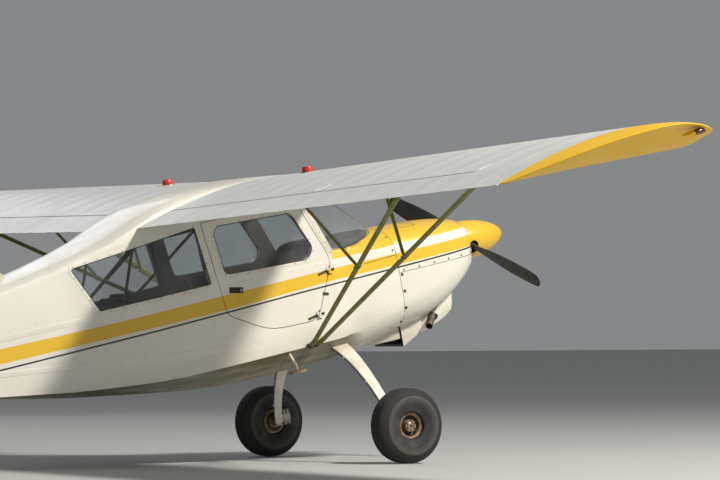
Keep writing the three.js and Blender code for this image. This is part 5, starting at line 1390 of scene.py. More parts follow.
screw_grey = make_paint("screw_grey", rgb(0.26, 0.24, 0.20), rgb(0.12, 0.105, 0.085), 0.45, 0.6, scale=30.0)
COWL_SEAM = [(0.645, -0.072), (1.345, -0.072)]
FIREWALL_SEAM = [(0.622, -0.105), (0.617, -0.350), (0.592, -0.462)]
BOOT_DECK_SEAM = [(0.578, 0.09), (0.578, 0.19)]
for side, sign in (("left", 1), ("right", -1)):
    rows = [side_row(COWL_SEAM, sign), side_row(BOOT_DECK_SEAM, sign)]
    screw_rows("cowl_screws_" + side, rows, "airframe", screw_grey, 0.122, 0.0085, 0.0042)
    rows = [side_row(FIREWALL_SEAM, sign)]
    screw_rows("cowl_latches_" + side, rows, "airframe", dark_metal, 0.117, 0.0125, 0.0048)
print("faces of the latches on one side:", len(made[-1].data.polygons))

# %% [markdown]
# Seams, seals, frames and stringers are all beads: a narrow strip that follows a row of places on the
# skin, with a round or a flat section. Around an opening the row is an outline with rounded corners,
# moved outwards by the width of its frame and then looked up on the skin point by point.

# %% Beads and outlines
ROUND_BEAD = [(-1.0, -0.5), (-0.92, 0.4), (-0.71, 0.75), (-0.38, 0.93), (0.0, 1.0), (0.38, 0.93),
              (0.71, 0.75), (0.92, 0.4), (1.0, -0.5)]
FLAT_BEAD = [(-1.0, -1.0), (-1.0, 0.6), (-0.94, 1.0), (0.94, 1.0), (1.0, 0.6), (1.0, -1.0)]


def bead(shape, row, half_width, height, section=ROUND_BEAD, closed=False):
    rings = []
    count = len(row)
    for index, (place, normal) in enumerate(row):
        after = row[(index + 1) % count] if closed else row[min(index + 1, count - 1)]
        before = row[index - 1] if closed else row[max(index - 1, 0)]
        across = (after[0] - before[0]).cross(normal).normalized()
        rings.append([place + across * half_width * a + normal * height * b for a, b in section])
    if closed:
        return shape.loft(rings + [rings[0]], caps=False)
    return shape.loft(rings)


def rounded_outline(corners, steps=7):
    out = []
    for index, (x, z, radius) in enumerate(corners):
        here = Vector((x, z))
        back = Vector(corners[index - 1][:2]) - here
        ahead = Vector(corners[(index + 1) % len(corners)][:2]) - here
        half = back.angle(ahead) / 2
        reach = min(radius / math.tan(half), 0.46 * min(back.length, ahead.length))
        middle = here + (back.normalized() + ahead.normalized()).normalized() * reach / math.cos(half)
        start = here + back.normalized() * reach - middle
        end = here + ahead.normalized() * reach - middle
        arms = [start.lerp(end, part).normalized() * start.length for part in between(0.0, 1.0, steps)]
        out.extend(middle + arm for arm in arms)
    return out


def grown(outline, distance, most=0.12):
    area = sum(a.cross(b) for a, b in zip(outline, outline[1:] + outline[:1]))
    turn = 1 if area > 0 else -1
    out = []
    count = len(outline)
    for index, point in enumerate(outline):
        along = (outline[(index + 1) % count] - outline[index - 1]).normalized()
        out.append(point + Vector((along.y, -along.x)) * distance * turn)
    full = []
    for a, b in zip(out, out[1:] + out[:1]):
        parts = max(1, math.ceil((b - a).length / most))
        full.extend(a.lerp(b, k / parts) for k in range(parts))
    return full


print("points in a flat and in a round bead:", len(FLAT_BEAD), len(ROUND_BEAD))


# %% [markdown]
# A cabin window is held by a screwed strip and sealed with black rubber at the glass. The windows are
# alike on both sides, but the front one on the right belongs to the door and swings with it.

# %% Window frames
DOOR_WINDOW = [(-0.926, 0.553, 0.060), (-0.254, 0.530, 0.060), (-0.112, 0.238, 0.090),
               (-0.179, 0.167, 0.060), (-0.884, 0.194, 0.050)]
REAR_WINDOW = [(-2.088, 0.470, 0.012), (-1.922, 0.138, 0.012), (-1.016, 0.150, 0.014), (-1.072, 0.575, 0.014)]
FRAME_OFFSET = 0.0145
FRAME_HALF = 0.0105
FRAME_HEIGHT = 0.0016
SEAL_OFFSET = 0.0010
seal_black = make_paint("seal_black", rgb(0.018, 0.018, 0.017), rgb(0.035, 0.033, 0.030), 0.7, scale=30.0)


def window_frame(name, corners, body, sign):
    frame_row, seal_row = ([from_side(*point, sign) for point in grown(rounded_outline(corners), offset)]
                           for offset in (FRAME_OFFSET, SEAL_OFFSET))
    frame_strip = bead(Shape(), frame_row, FRAME_HALF, FRAME_HEIGHT, FLAT_BEAD, closed=True)
    make("window_strip_" + name, frame_strip, [body_paint], body, angle=30)
    seal = bead(Shape(), seal_row, 0.0032, 0.0024, closed=True)
    make("window_seal_" + name, seal, [seal_black], body, angle=50)
    heads = [raised(frame_row + frame_row[:1], FRAME_HEIGHT)]
    screw_rows("window_screws_" + name, heads, body, screw_grey, 0.098, 0.0046, 0.0022)


for side, sign in (("left", 1), ("right", -1)):
    window_frame("front_" + side, DOOR_WINDOW, "door" if side == "right" else "airframe", sign)
    window_frame("rear_" + side, REAR_WINDOW, "airframe", sign)
print("pieces with the window frames:", len(made))

# %% [markdown]
# Where two sheets of the cowl meet, a thin dark line marks the joint: one runs round the firewall, one
# along each side. Behind the cabin the fabric lies on stringers, which show as soft, wide ridges. The
# line round the firewall is found by rays that come in from all around, not only from the side.

# %% Seams and stringers
FIREWALL_SEAM_X = 0.6006
FIREWALL_SEAM_TURN = math.radians(141)
SIDE_SEAM = [(0.603, -0.088), (1.385, -0.088)]
BOOT_SEAM = [(0.300, 0.038), (0.597, 0.050)]
STRINGERS = [
    [(-1.950, 0.097), (-2.759, 0.091), (-4.450, 0.088)],
    [(-0.970, -0.335), (-2.061, -0.229), (-2.808, -0.144), (-4.400, 0.030)],
]
SPINE = (-2.4, -4.15, 35)
BODY_MIDDLE = -0.15
ROUND_REACH = 2.0


def from_round(x, turn):
    out = Vector((0, math.sin(turn), math.cos(turn)))
    return hit(body_tree, Vector((x, 0, BODY_MIDDLE)) + out * ROUND_REACH, -out)


seams = Shape()
turns = between(-FIREWALL_SEAM_TURN, FIREWALL_SEAM_TURN, 96)
bead(seams, [from_round(FIREWALL_SEAM_X, turn) for turn in turns], 0.0018, 0.0014)
stringers = Shape()
for sign in (1, -1):
    bead(seams, side_row(SIDE_SEAM, sign, steps=60), 0.0018, 0.0014)
    bead(seams, side_row(BOOT_SEAM, sign, steps=24), 0.0022, 0.0014)
    for line in STRINGERS:
        bead(stringers, side_row(line, sign, steps=20), 0.022, 0.0014)
bead(stringers, [from_above(x, 0.0) for x in between(*SPINE)], 0.014, 0.0022)
make("cowl_seams", seams, [seal_black], "airframe", angle=50)
make("fabric_stringers", stringers, [body_paint], "airframe", angle=50)
print("faces of seams and stringers:", len(seams.faces), len(stringers.faces))

# %% [markdown]
# The door hangs on two dark strap hinges at its slanted front edge. Its handle is a small lever in a
# shallow dark pan. A fold crosses the door's sheet just under the window. All of these
# ride on the door, apart from the hinges' front leaves, which are bolted to the boot cowl.

# %% Door fittings
HINGE_TOP = Vector((-0.004, -0.414, 0.070))
HINGE_FOOT = Vector((-0.168, -0.414, -0.262))
HINGE_PARTS = (0.04, 0.96)
STRAP_HALF, STRAP_HEIGHT = 0.0085, 0.0042
DOOR_STRAP = ((-0.020, -0.004), (-0.098, -0.020))
BODY_STRAP = ((0.020, -0.002), (0.044, 0.002))
HANDLE_PAN = [(-0.876, 0.076), (-0.762, 0.054)]
PIVOT_CAP = [(0.0, 0.0), (0.0, 0.0125), (0.0085, 0.0112), (0.0100, 0.0090), (0.0100, 0.0)]
LEVER_HEIGHT = 0.0055
LATCH = [(-0.098, -0.106), (-0.052, -0.118)]
DOOR_FOLD = [(-0.930, 0.116), (-0.030, 0.118)]


def hinge_straps(ends):
    shape = Shape()
    for part in HINGE_PARTS:
        pin = HINGE_TOP.lerp(HINGE_FOOT, part)
        row = side_row([(pin.x + x, pin.z + z) for x, z in ends], -1, steps=6)
        bead(shape, row, STRAP_HALF, STRAP_HEIGHT, FLAT_BEAD)
    return shape


def door_handle():
    pan = side_row(HANDLE_PAN, -1, steps=6)
    shape = bead(Shape(), pan, 0.0215, 0.0018, FLAT_BEAD)
    lever = [place for place, _ in raised(pan, LEVER_HEIGHT)]
    shape.finish(1).tube(lever[1:6], 0.0042, 12, width=0.0085, near=(0, 1, 0),
                         scales=[0.85, 1.0, 1.0, 1.05, 0.8])
    return shape.finish(2).turned(PIVOT_CAP, *pan[5], 24)


make("door_hinge_straps", hinge_straps(DOOR_STRAP), [dark_metal], "door", angle=30)
make("door_hinge_leaves", hinge_straps(BODY_STRAP), [dark_metal], "airframe", angle=30)
make("door_handle", door_handle(), [seal_black, dark_metal, bare_steel], "door", angle=35)
latch = bead(Shape(), side_row(LATCH, -1, steps=6), 0.0095, 0.006, FLAT_BEAD)
make("door_latch", latch, [dark_metal], "door", angle=30)
fold = bead(Shape(), side_row(DOOR_FOLD, -1, steps=24), 0.0024, 0.0011)
make("door_fold", fold, [body_paint], "door", angle=50)
print("the door's pieces:", [obj.name for obj in made[-5:]])

# %% [markdown] Seat cushions are padded, so they are blown up instead of drawn. A flat, slightly small
# block is remeshed into even squares, and Cloth inflates it by pressure with gravity off. Its lowest
# points stay where they are, and no point may move further than a cap.

# %% A block that swells
PAD_STEP = 0.0095
PAD_SQUARENESS = 0.28
PAD_CAP = 0.016
PAD_PRESSURE = 4.0
PAD_FRAMES = 20
PAD_RESTS_BELOW = 0.006


def squared(value):
    return math.copysign(abs(value) ** PAD_SQUARENESS, value)


def pad_block(length, width, thick, narrow):
    rings = []
    for z, small in ((0.0, 0.012), (0.008, 0.0), (thick - 0.010, 0.0), (thick, 0.014)):
        ring = []
        for turn in around(40):
            x = squared(math.cos(turn)) * (length / 2 - small)
            y = squared(math.sin(turn)) * (width / 2 - small) * (1 - narrow * (x / length + 0.5))
            ring.append((x, y, z))
        rings.append(ring)
    return Shape().loft(rings)


def swollen(name, block):
    mesh = bpy.data.meshes.new(name)
    mesh.from_pydata([tuple(point) for point in block.points], [], block.faces)
    mesh = tidy_mesh(mesh, [], 180)
    obj = bpy.data.objects.new(name, mesh)
    bpy.context.scene.collection.objects.link(obj)
    remesh = obj.modifiers.new("remesh", "REMESH")
    remesh.mode = "VOXEL"
    remesh.voxel_size = PAD_STEP
    mesh = plain_mesh(obj)
    start = [vertex.co.copy() for vertex in mesh.vertices]
    obj = bpy.data.objects.new(name, mesh)
    bpy.context.scene.collection.objects.link(obj)
    rests = obj.vertex_groups.new(name="rests")
    rests.add([i for i, place in enumerate(start) if place.z < PAD_RESTS_BELOW], 1.0, "REPLACE")
    cloth = obj.modifiers.new("cloth", "CLOTH")
    cloth.settings.use_pressure = True
    cloth.settings.uniform_pressure_force = PAD_PRESSURE
    cloth.settings.effector_weights.gravity = 0.0
    cloth.settings.vertex_group_mass = "rests"
    cloth.settings.quality = 5
    for step in range(1, PAD_FRAMES + 1):
        bpy.context.scene.frame_set(step)
    mesh = plain_mesh(obj)
    bpy.context.scene.frame_set(1)
    for vertex, place in zip(mesh.vertices, start):
        move = vertex.co - place
        if move.length > PAD_CAP:
            vertex.co = place + move * (PAD_CAP / move.length)
    return mesh


print("a pad's points move this far at most:", PAD_CAP)

# %% [markdown]
# Sewing comes after swelling, because it is finer than the mesh that swells. Two channels are pressed
# into the upper face, and a welt, a thin round cord, runs round the edge of the pad where rays from
# outside meet it. The leather is a mottled brown with a grain of small cells in its relief.

# %% Sewing and leather
CHANNELS = (-0.066, 0.066)
CHANNEL_DEPTH = 0.0075
CHANNEL_WIDTH = 0.010
WELT_RADIUS = 0.0042
WELT_HEIGHT = 0.030


def leather(name, colour, shade):
    finish = Finish(name, 0.55)
    level = finish.level()
    worn = finish.noise(level, 7.0, 5.0)
    grain = finish.add("ShaderNodeTexVoronoi", {"Vector": level, "Scale": 240.0}).outputs["Distance"]
    finish.set(Base_Color=finish.mottled(worn, colour, shade))
    finish.set(Roughness=finish.ramp(worn, 0.3, 0.7, 0.42, 0.62))
    finish.bump(grain, 0.35, 0.0008)
    return finish.material


def sewn(mesh):
    obj = bpy.data.objects.new("pad", mesh)
    bpy.context.scene.collection.objects.link(obj)
    finer = obj.modifiers.new("finer", "SUBSURF")
    finer.levels = finer.render_levels = 1
    mesh = plain_mesh(obj)
    for vertex in [vertex for vertex in mesh.vertices if vertex.normal.z > 0.2]:
        nearest = min(abs(vertex.co.y - line) for line in CHANNELS)
        vertex.co.z -= CHANNEL_DEPTH * math.exp(-(nearest / CHANNEL_WIDTH) ** 2)
    return mesh


def welt(mesh):
    tree = BVHTree.FromPolygons([v.co for v in mesh.vertices], [f.vertices for f in mesh.polygons])
    row = []
    for turn in around(96):
        out = Vector((math.cos(turn), math.sin(turn), 0))
        row.append((hit(tree, Vector((0, 0, WELT_HEIGHT)) + out, -out)[0], out))
    return bead(Shape(), row, WELT_RADIUS, WELT_RADIUS, closed=True)


seat_leather = leather("seat_leather", rgb(0.105, 0.050, 0.034), rgb(0.060, 0.030, 0.022))
print("leather made:", seat_leather.name)

# %% [markdown]
# One seat and one back are made, and each is set at its place in both rows: the seat flat on its tray,
# the back leaning on its frame. The two frames stand at different slants, so each back has its own.

# %% Cushions in their places
SEAT_PLACES = {"front": (-0.520, 12.0), "rear": (-1.240, 10.0)}
FLOOR_TOP = -0.473
SEAT_BASE = FLOOR_TOP + 0.170
SEAT_PAD = (0.405, 0.410, 0.044, 0.02)
BACK_PAD = (0.480, 0.390, 0.046, 0.10)
BACK_SHIFT, BACK_RISE = -0.248, 0.030
EXTRA_LEAN = 0.02


def seat_turn(x):
    return Matrix.Translation((x, 0, SEAT_BASE + 0.0005))


def back_turn(x, tilt):
    lean = math.atan(math.tan(math.radians(tilt)) + EXTRA_LEAN)
    up, ahead = (-math.sin(lean), 0, math.cos(lean)), (math.cos(lean), 0, math.sin(lean))
    upright = Matrix((up, (0, -1, 0), ahead)).transposed().to_4x4()
    foot = Matrix.Translation((x + BACK_SHIFT, 0, SEAT_BASE + BACK_RISE))
    return foot @ upright @ Matrix.Translation((BACK_PAD[0] / 2, 0, 0))


def cushion(name, pad, edge, matrix, stands_for):
    soft = pad.copy()
    soft.transform(matrix)
    mesh = tidy_mesh(soft, [seat_leather], 60, LEVEL_MATRIX)
    obj = mount(name + "_pad", mesh, "airframe", stands_for)
    cord = Shape().add([matrix @ point for point in edge.points], edge.faces)
    make(name + "_welt", cord, [seat_leather], "airframe", angle=60)


seat_mesh = sewn(swollen("seat_pad", pad_block(*SEAT_PAD)))
back_mesh = sewn(swollen("back_pad", pad_block(*BACK_PAD)))
seat_welt, back_welt = welt(seat_mesh), welt(back_mesh)
for row, (x, tilt) in SEAT_PLACES.items():
    cushion(row + "_seat", seat_mesh, seat_welt, seat_turn(x), [row + "_seat_cushions"])
    cushion(row + "_back", back_mesh, back_welt, back_turn(x, tilt), ())
print("faces in a seat pad:", len(seat_mesh.polygons), "in a back pad:", len(back_mesh.polygons))

# %% [markdown]
# The instrument panel is a flat sheet with round gauges let into it. A gauge is a dark face inside a
# turned bezel, with short marks round its edge and a pointer. They are all one design at two sizes, set
# out in two rows, with a row of small knobs underneath. No gauge carries a word or a figure.

# %% Instruments
PANEL_FACE = 0.1498
GAUGE_ROWS = (0.172, 0.078)
GAUGE_PLACES = [(-0.285, 0.028), (-0.170, 0.040), (-0.060, 0.040), (0.060, 0.040), (0.170, 0.040),
                (0.285, 0.028)]
KNOB_PLACES = [(-0.15, 2), (-0.09, 1), (-0.03, 3), (0.03, 1), (0.09, 2), (0.15, 1)]
KNOB_STEM = [(0.0, 0.0), (0.0, 0.007), (0.004, 0.007), (0.004, 0.004), (0.024, 0.004), (0.024, 0.0095),
             (0.028, 0.0115), (0.036, 0.0105), (0.038, 0.007), (0.038, 0.0)]
TOWARDS_SEAT = (-1, 0, 0)
POINTER_STEP = 2.1
gauge_white = make_paint("gauge_white", rgb(0.72, 0.72, 0.68), rgb(0.60, 0.60, 0.57), 0.5, scale=40.0)


def gauge(shape, y, z, radius, turn):
    centre = Vector((PANEL_FACE, y, z))
    dial = [(0.0, 0.0), (0.0022, 0.0), (0.0022, radius * 0.88), (0.0, radius * 0.88)]
    shape.finish(0).turned(dial, centre, TOWARDS_SEAT, 32)
    rim = [(0.0, 0.86), (0.0042, 0.88), (0.0060, 0.93), (0.0052, 1.0), (0.0, 1.0)]
    shape.finish(1).turned([(x, radius * part) for x, part in rim], centre, TOWARDS_SEAT, 36, closed=True)
    shape.finish(2)
    front = centre - Vector((0.0028, 0, 0))
    for mark in around(12):
        out = Vector((0, math.sin(mark), math.cos(mark)))
        shape.tube([front + out * radius * 0.70, front + out * radius * 0.82], 0.0007, 4)
    out = Vector((0, math.sin(turn), math.cos(turn)))
    shape.tube([front - out * radius * 0.15, front + out * radius * 0.62], 0.0011, 6, scales=[1.0, 0.3])


def panel_fittings():
    shape = Shape()
    turn = 0.4
    for z in GAUGE_ROWS:
        for y, radius in GAUGE_PLACES:
            gauge(shape, y, z, radius, turn)
            turn += POINTER_STEP
    for y, finish in KNOB_PLACES:
        shape.finish(finish).turned(KNOB_STEM, (PANEL_FACE, y, 0.0), TOWARDS_SEAT, 20)
    return shape


panel_finishes = [flat_black_and_shade, dark_metal, gauge_white, cap_red]
make("panel_gauges", panel_fittings(), panel_finishes, "airframe", angle=35)


def stick_grip(x):
    foot, top = Vector((x + 0.037, 0, FLOOR_TOP + 0.440)), Vector((x + 0.050, 0, FLOOR_TOP + 0.563))
    places = [foot.lerp(top, part) for part in between(0.0, 1.0, 20)]
    scales = [(1.0 if k % 3 else 0.93) * (1.0 - 0.16 * k / 20) for k in range(20)] + [0.5]
    return Shape().tube(places, 0.0208, 20, scales=scales, near=(0, 1, 0))


for name, x in (("front", -0.070), ("rear", -0.965)):
    make(name + "_stick_grip", stick_grip(x), [seal_black], "airframe", angle=50)
print("gauges:", len(GAUGE_ROWS) * len(GAUGE_PLACES))

# %% [markdown]
# A lift strut is a streamlined tube: a ring of points across its line, thicker ahead than behind. Near
# the fuselage the rings shrink to the size of the fitting it slips into. Jury posts stand about halfway
# along the lift struts and reach up to the wing. Both replace packed solids, which are a bit stouter.

# %% Lift struts and jury posts
STRUT_FOOT = Vector((-0.274, 0.444, -0.462))
STRUT_TOP_OUT = 3.210
JURY_OUT = 1.940
STRUTS = {"front": (0.381, 0.026, 0.0285, 0.0140), "rear": (1.060, -0.026, 0.0235, 0.0120)}
FOOT_HALF = (0.0150, 0.0120)
JURY_HALF = (0.0185, 0.0090)


def wing_under(aft, out):
    return wing_point(aft / CHORD, skin_height(aft / CHORD, -1), out)


def strut_line(aft, shift):
    return STRUT_FOOT + Vector((shift, 0, 0)), wing_under(aft, STRUT_TOP_OUT)


def strut_ring(line, part, width, depth):
    foot, top = line
    along = (top - foot).normalized()
    chord = (Vector((1, 0, 0)) - along * along.x).normalized()
    flat = along.cross(chord)
    ring = []
    for turn in around(24):
        thick = depth * math.sin(turn) * (0.88 + 0.22 * math.cos(turn))
        ring.append(foot.lerp(top, part) + chord * width * math.cos(turn) + flat * thick)
    return ring


def lift_struts():
    shape = Shape()
    for aft, shift, width, depth in STRUTS.values():
        line = strut_line(aft, shift)
        rings = [strut_ring(line, part, *FOOT_HALF) for part in (0.0, 0.010)]
        rings += [strut_ring(line, part, width, depth) for part in (0.030, 0.1, 0.5, 0.9, 1.012)]
        shape.loft(rings)
    foot = STRUT_FOOT + Vector((0, -0.026, 0))
    shape.finish(1).box(foot + Vector((-0.044, -0.0177, -0.012)), foot + Vector((0.044, 0.034, 0.020)), 0.004)
    return shape


def jury_struts():
    shape = Shape()
    for aft, shift, _, depth in STRUTS.values():
        foot, top = strut_line(aft, shift)
        low = foot.lerp(top, (JURY_OUT - foot.y) / (top.y - foot.y)) + Vector((0, 0, depth * 0.6))
        high = wing_under(aft, JURY_OUT) + Vector((0, 0, 0.004))
        path = [low.lerp(high, part) for part in (0.0, 0.03, 0.06, 0.94, 0.97, 1.0)]
        shape.tube(path, JURY_HALF[1], 16, width=JURY_HALF[0], scales=[0.7, 0.75, 1.0, 1.0, 0.8, 0.75])
        shape.box(high + Vector((-0.022, -0.015, -0.020)), high + Vector((0.022, 0.015, -0.003)), 0.003)
    return shape


strut_finishes = [strut_olive, dark_metal]
make_pair("lift_strut_skins", lift_struts(), strut_finishes, "airframe", "lift_struts", 40)
make_pair("jury_posts", jury_struts(), [strut_olive], "airframe", "jury_struts", 40)
print("pieces with the struts:", len(made))

# %% [markdown]
# Sleeves and clamps are short tubes along the strut's own line, so each is placed by how far out along
# the wing it sits. A plate on the wing holds the top end, and two large bolts hold the foot.

# %% Fittings of the struts
SLEEVE_OUT = 0.52
SLEEVE_FROM_TOP = 0.135
CLAMP_DEPTH = 0.0160
TOP_PLATE = (Vector((-0.040, -0.050, -0.028)), Vector((0.040, 0.022, -0.001)))
TOP_PIN = Vector((0, -0.014, -0.014))
FOOT_BOLT = [(-0.022, 0.0), (-0.022, 0.008), (-0.012, 0.008), (-0.012, 0.0115), (0.019, 0.0115),
             (0.019, 0.008), (0.027, 0.008), (0.027, 0.0)]


def strut_sleeve(shape, line, middle, half, width, depth, taper=0.94):
    foot, top = line
    along = (top - foot).normalized()
    centre = foot.lerp(top, (middle - foot.y) / (top.y - foot.y))
    path = [centre + along * half * k for k in (-1.0, -0.94, 0.94, 1.0)]
    shape.tube(path, depth, 20, width=width, scales=[taper, 1.0, 1.0, taper])
    return centre


def strut_fittings():
    shape = Shape()
    for aft, shift, width, depth in STRUTS.values():
        line = strut_line(aft, shift)
        strut_sleeve(shape.finish(0), line, SLEEVE_OUT, 0.036, width + 0.002, depth + 0.002)
        strut_sleeve(shape, line, STRUT_TOP_OUT - SLEEVE_FROM_TOP, 0.030, width + 0.002, depth + 0.002)
        centre = strut_sleeve(shape, line, JURY_OUT, 0.014, width + 0.0025, CLAMP_DEPTH)
        bolt = Vector((width + 0.009, 0, 0))
        shape.finish(2).tube([centre - bolt, centre + bolt], 0.0045, 8, near=(0, 1, 0))
        top = line[1]
        shape.finish(1).box(top + TOP_PLATE[0], top + TOP_PLATE[1], 0.004)
        middle, pin = top + TOP_PIN, Vector((0.050, 0, 0))
        shape.finish(2).tube([middle - pin, middle + pin], 0.006, 10, near=(0, 1, 0))
    foot = STRUT_FOOT + Vector((0, -0.002, 0.005))
    for shift in (-0.030, 0.030):
        bolt = foot + Vector((shift, 0, 0))
        shape.finish(2).turned(FOOT_BOLT, bolt, (0, 0, 1), 6)
    return shape


make_pair("strut_fittings", strut_fittings(), [strut_olive, dark_metal, bare_steel], "airframe")
print("faces in the fittings of one side:", len(made[-1].data.polygons))

# %% [markdown]
# Each gear leg is a flat leaf that narrows towards the axle, drawn through a few stations with rounded
# edges. It replaces the packed leg and carries the axle and the brake. A brake line runs down its rear
# edge, held by small clips, and follows the same stations.

# %% Gear legs
LEG = [(-0.005, 0.330, -0.520, 0.146, 0.025), (0.000, 0.420, -0.570, 0.128, 0.024),
       (0.008, 0.540, -0.664, 0.106, 0.023), (0.018, 0.660, -0.792, 0.087, 0.022),
       (0.028, 0.752, -0.920, 0.075, 0.021), (0.036, 0.806, -1.030, 0.068, 0.020),
       (0.043, 0.836, -1.112, 0.063, 0.019), (0.045, 0.846, -1.160, 0.052, 0.018)]
LEG_STEPS = 5
LINE_ROWS = 31
LEG_CORNER = [(1.0, 0.45), (0.97, 0.78), (0.90, 1.0)]
BRAKE_LINE_RADIUS = 0.0038
LINE_END = [Vector((-0.004, 0.872, -1.086)), Vector((0.112, 0.874, -1.068))]
CLIPS = (1.5, 3.1, 4.7)
AXLE_PROFILE = [(0.834, 0.0), (0.834, 0.0320), (0.838, 0.0350), (0.888, 0.0350), (0.898, 0.0280),
                (0.899, 0.0160), (1.047, 0.0160), (1.047, 0.0)]
CALIPER_BOLT = [(0.0, 0.0), (0.0, 0.0085), (-0.006, 0.0085), (-0.0080, 0.006), (-0.0080, 0.0)]


def brake_line():
    rows = smooth_through(LEG, LEG_STEPS)[:LINE_ROWS]
    path = [Vector((x - wide / 2 - BRAKE_LINE_RADIUS, y, z)) for x, y, z, wide, _ in rows]
    shape = Shape().tube(path + LINE_END, BRAKE_LINE_RADIUS, 8, near=(1, 0, 0)).finish(1)
    for place in CLIPS:
        index = int(place * LEG_STEPS)
        x, y, z, wide, _ = rows[index]
        ahead = Vector(rows[index + 1][:3]) - Vector(rows[index - 1][:3])
        along = Vector((0, ahead.y, ahead.z)).normalized() * 0.004
        middle = Vector((x - 0.004, y, z))
        shape.tube([middle - along, middle + along], 0.0132, 16, width=wide / 2 + 0.0060, near=(0, 0, 1))
    return shape


def spring_leg():
    rows = smooth_through(LEG, LEG_STEPS)
    quarter = LEG_CORNER + [(0.0, 1.0)]
    outline = quarter + [(-a, b) for a, b in reversed(LEG_CORNER)]
    outline += [(-a, -b) for a, b in quarter] + [(a, -b) for a, b in reversed(LEG_CORNER)]
    rings = []
    for index, (x, y, z, wide, thick) in enumerate(rows):
        before, after = rows[max(index - 1, 0)], rows[min(index + 1, len(rows) - 1)]
        along = Vector((0, after[1] - before[1], after[2] - before[2])).normalized()
        across = Vector((0, -along.z, along.y))
        rings.append([Vector((x + a * wide / 2, y, z)) + across * b * thick / 2 for a, b in outline])
    return Shape().loft(rings)


def leg_with_brake():
    shape = Shape().finish(1).turned(AXLE_PROFILE, (AXLE.x, 0, AXLE.z), (0, 1, 0), 40)
    shape.box((AXLE.x, 0.846, AXLE.z - 0.016), (AXLE.x + 0.118, 0.861, AXLE.z + 0.050), 0.004)
    shape.box((AXLE.x + 0.058, 0.8585, AXLE.z - 0.048), (AXLE.x + 0.122, 0.882, AXLE.z + 0.084), 0.009)
    shape.box((AXLE.x + 0.066, 0.8810, AXLE.z - 0.040), (AXLE.x + 0.120, 0.899, AXLE.z + 0.076), 0.006)
    for up in (-0.032, 0.018, 0.068):
        shape.finish(2).turned(CALIPER_BOLT, (AXLE.x + 0.090, 0.8588, AXLE.z + up), (0, 1, 0), 6)
    leaf = spring_leg()
    return shape.finish(0).add(leaf.points, leaf.faces)


leg_finishes = [gear_cream, bare_steel, dark_metal]
make_pair("gear_spring", leg_with_brake(), leg_finishes, "airframe", "gear_leg")
make_pair("brake_line", brake_line(), [seal_black, gear_cream], "airframe", angle=40)
print("faces in a leg with its brake:", len(made[-3].data.polygons))

# %% [markdown]
# Small things break up a wing. The fuel cap sits on a bare ring. Under the wing are round inspection
# covers and, between the ribs, small drain eyes. Flat strips close the ends of flap and aileron, and a
# long tape covers the edge of the nose's sheet. Each is placed on the skin by its part of the chord.

# %% Wing fittings
CAP_PART = 0.430 / CHORD
CAP_OUT = 1.045
COVER_PLACES = [(0.33, 0.9), (0.33, 1.9), (0.31, 3.0), (0.33, 4.1), (0.62, 1.3), (0.62, 3.4)]
DRAIN_PART = 0.76
TAPE_PART = 0.125
CAP_RING = [(0.0, 0.0), (0.0, 0.058), (0.0022, 0.0575), (0.0030, 0.0520), (0.0030, 0.0)]
COVER = [(0.0, 0.0), (0.0, 0.048), (0.0018, 0.0475), (0.0024, 0.043), (0.0012, 0.0405), (0.0012, 0.0)]
DRAIN_EYE = [(0.0, 0.0), (0.0, 0.009), (0.0014, 0.0085), (0.0018, 0.005), (0.0, 0.004), (0.0, 0.0)]
END_STRIPS = [(0.404, 0.78, 0.62), (2.378, 0.80, 0.70), (4.356, 0.795, 0.72)]


def wing_spot(part, out, side):
    ahead = skin_point(part - 0.01, side, out) - skin_point(part + 0.01, side, out)
    normal = ahead.cross(Vector((0, 1, 0))).normalized()
    return skin_point(part, side, out), normal if normal.z * side > 0 else -normal


def wing_row(first, last, side, steps=14):
    parts, outs = (between(a, b, steps) for a, b in zip(first, last))
    return [wing_spot(part, out, side) for part, out in zip(parts, outs)]


def wing_fittings():
    shape = Shape().turned(CAP_RING, *wing_spot(CAP_PART, CAP_OUT, 1), 40).finish(1)
    for part, out in COVER_PLACES:
        shape.turned(COVER, *wing_spot(part, out, -1), 36)
    for k in range(1, WING_BAYS - 1):
        shape.turned(DRAIN_EYE, *wing_spot(DRAIN_PART, WING_ROOT + RIB_STEP * (k + 0.5), -1), 16)
    return shape


def fabric_strips():
    shape = Shape()
    for out, rear, front in END_STRIPS:
        for side in (1, -1):
            bead(shape, wing_row((rear, out), (front, out), side), 0.016, 0.0022, FLAT_BEAD)
    for side in (1, -1):
        tape = wing_row((TAPE_PART, WING_ROOT + 0.03), (TAPE_PART, TIP_RIB - 0.02), side, 90)
        bead(shape, tape, 0.009, 0.0009, FLAT_BEAD)
    return shape


strip_white = make_paint("strip_white", rgb(0.72, 0.72, 0.70), rgb(0.62, 0.62, 0.60), 0.4, scale=6.0)
make_pair("wing_fittings", wing_fittings(), [bare_steel, strip_white], "airframe")
make_pair("wing_strips", fabric_strips(), [strip_white], "airframe", angle=30)
print("faces in the strips of one wing:", len(made[-1].data.polygons))

# %% [markdown]
# The windscreen is one curved sheet, and at each side a screwed strip holds it against the door post.
# The nose has a rolled lip round each of its two air inlets. A lip follows the skin, so its outline is
# drawn as seen from ahead and looked up with rays that come from there.

# %% Windscreen posts and air inlets
INTAKE = [(0.078, -0.052, 0.026), (0.172, -0.062, 0.026), (0.196, 0.020, 0.026), (0.150, 0.084, 0.026),
          (0.084, 0.072, 0.026)]
POST_FOOT, POST_TOP = (0.034, 0.180), (-0.137, 0.590)
POST_SIDE = 0.4005
POST_HALF = 0.019
POST_HEIGHT = 0.0022


def from_front(y, z):
    return hit(body_tree, (RAY_START, y, z), (-1, 0, 0))


def post_row(sign):
    places = zip(*(between(low, high, 14) for low, high in zip(POST_FOOT, POST_TOP)))
    return [(Vector((x, sign * POST_SIDE, z)), Vector((0, sign, 0))) for x, z in places]


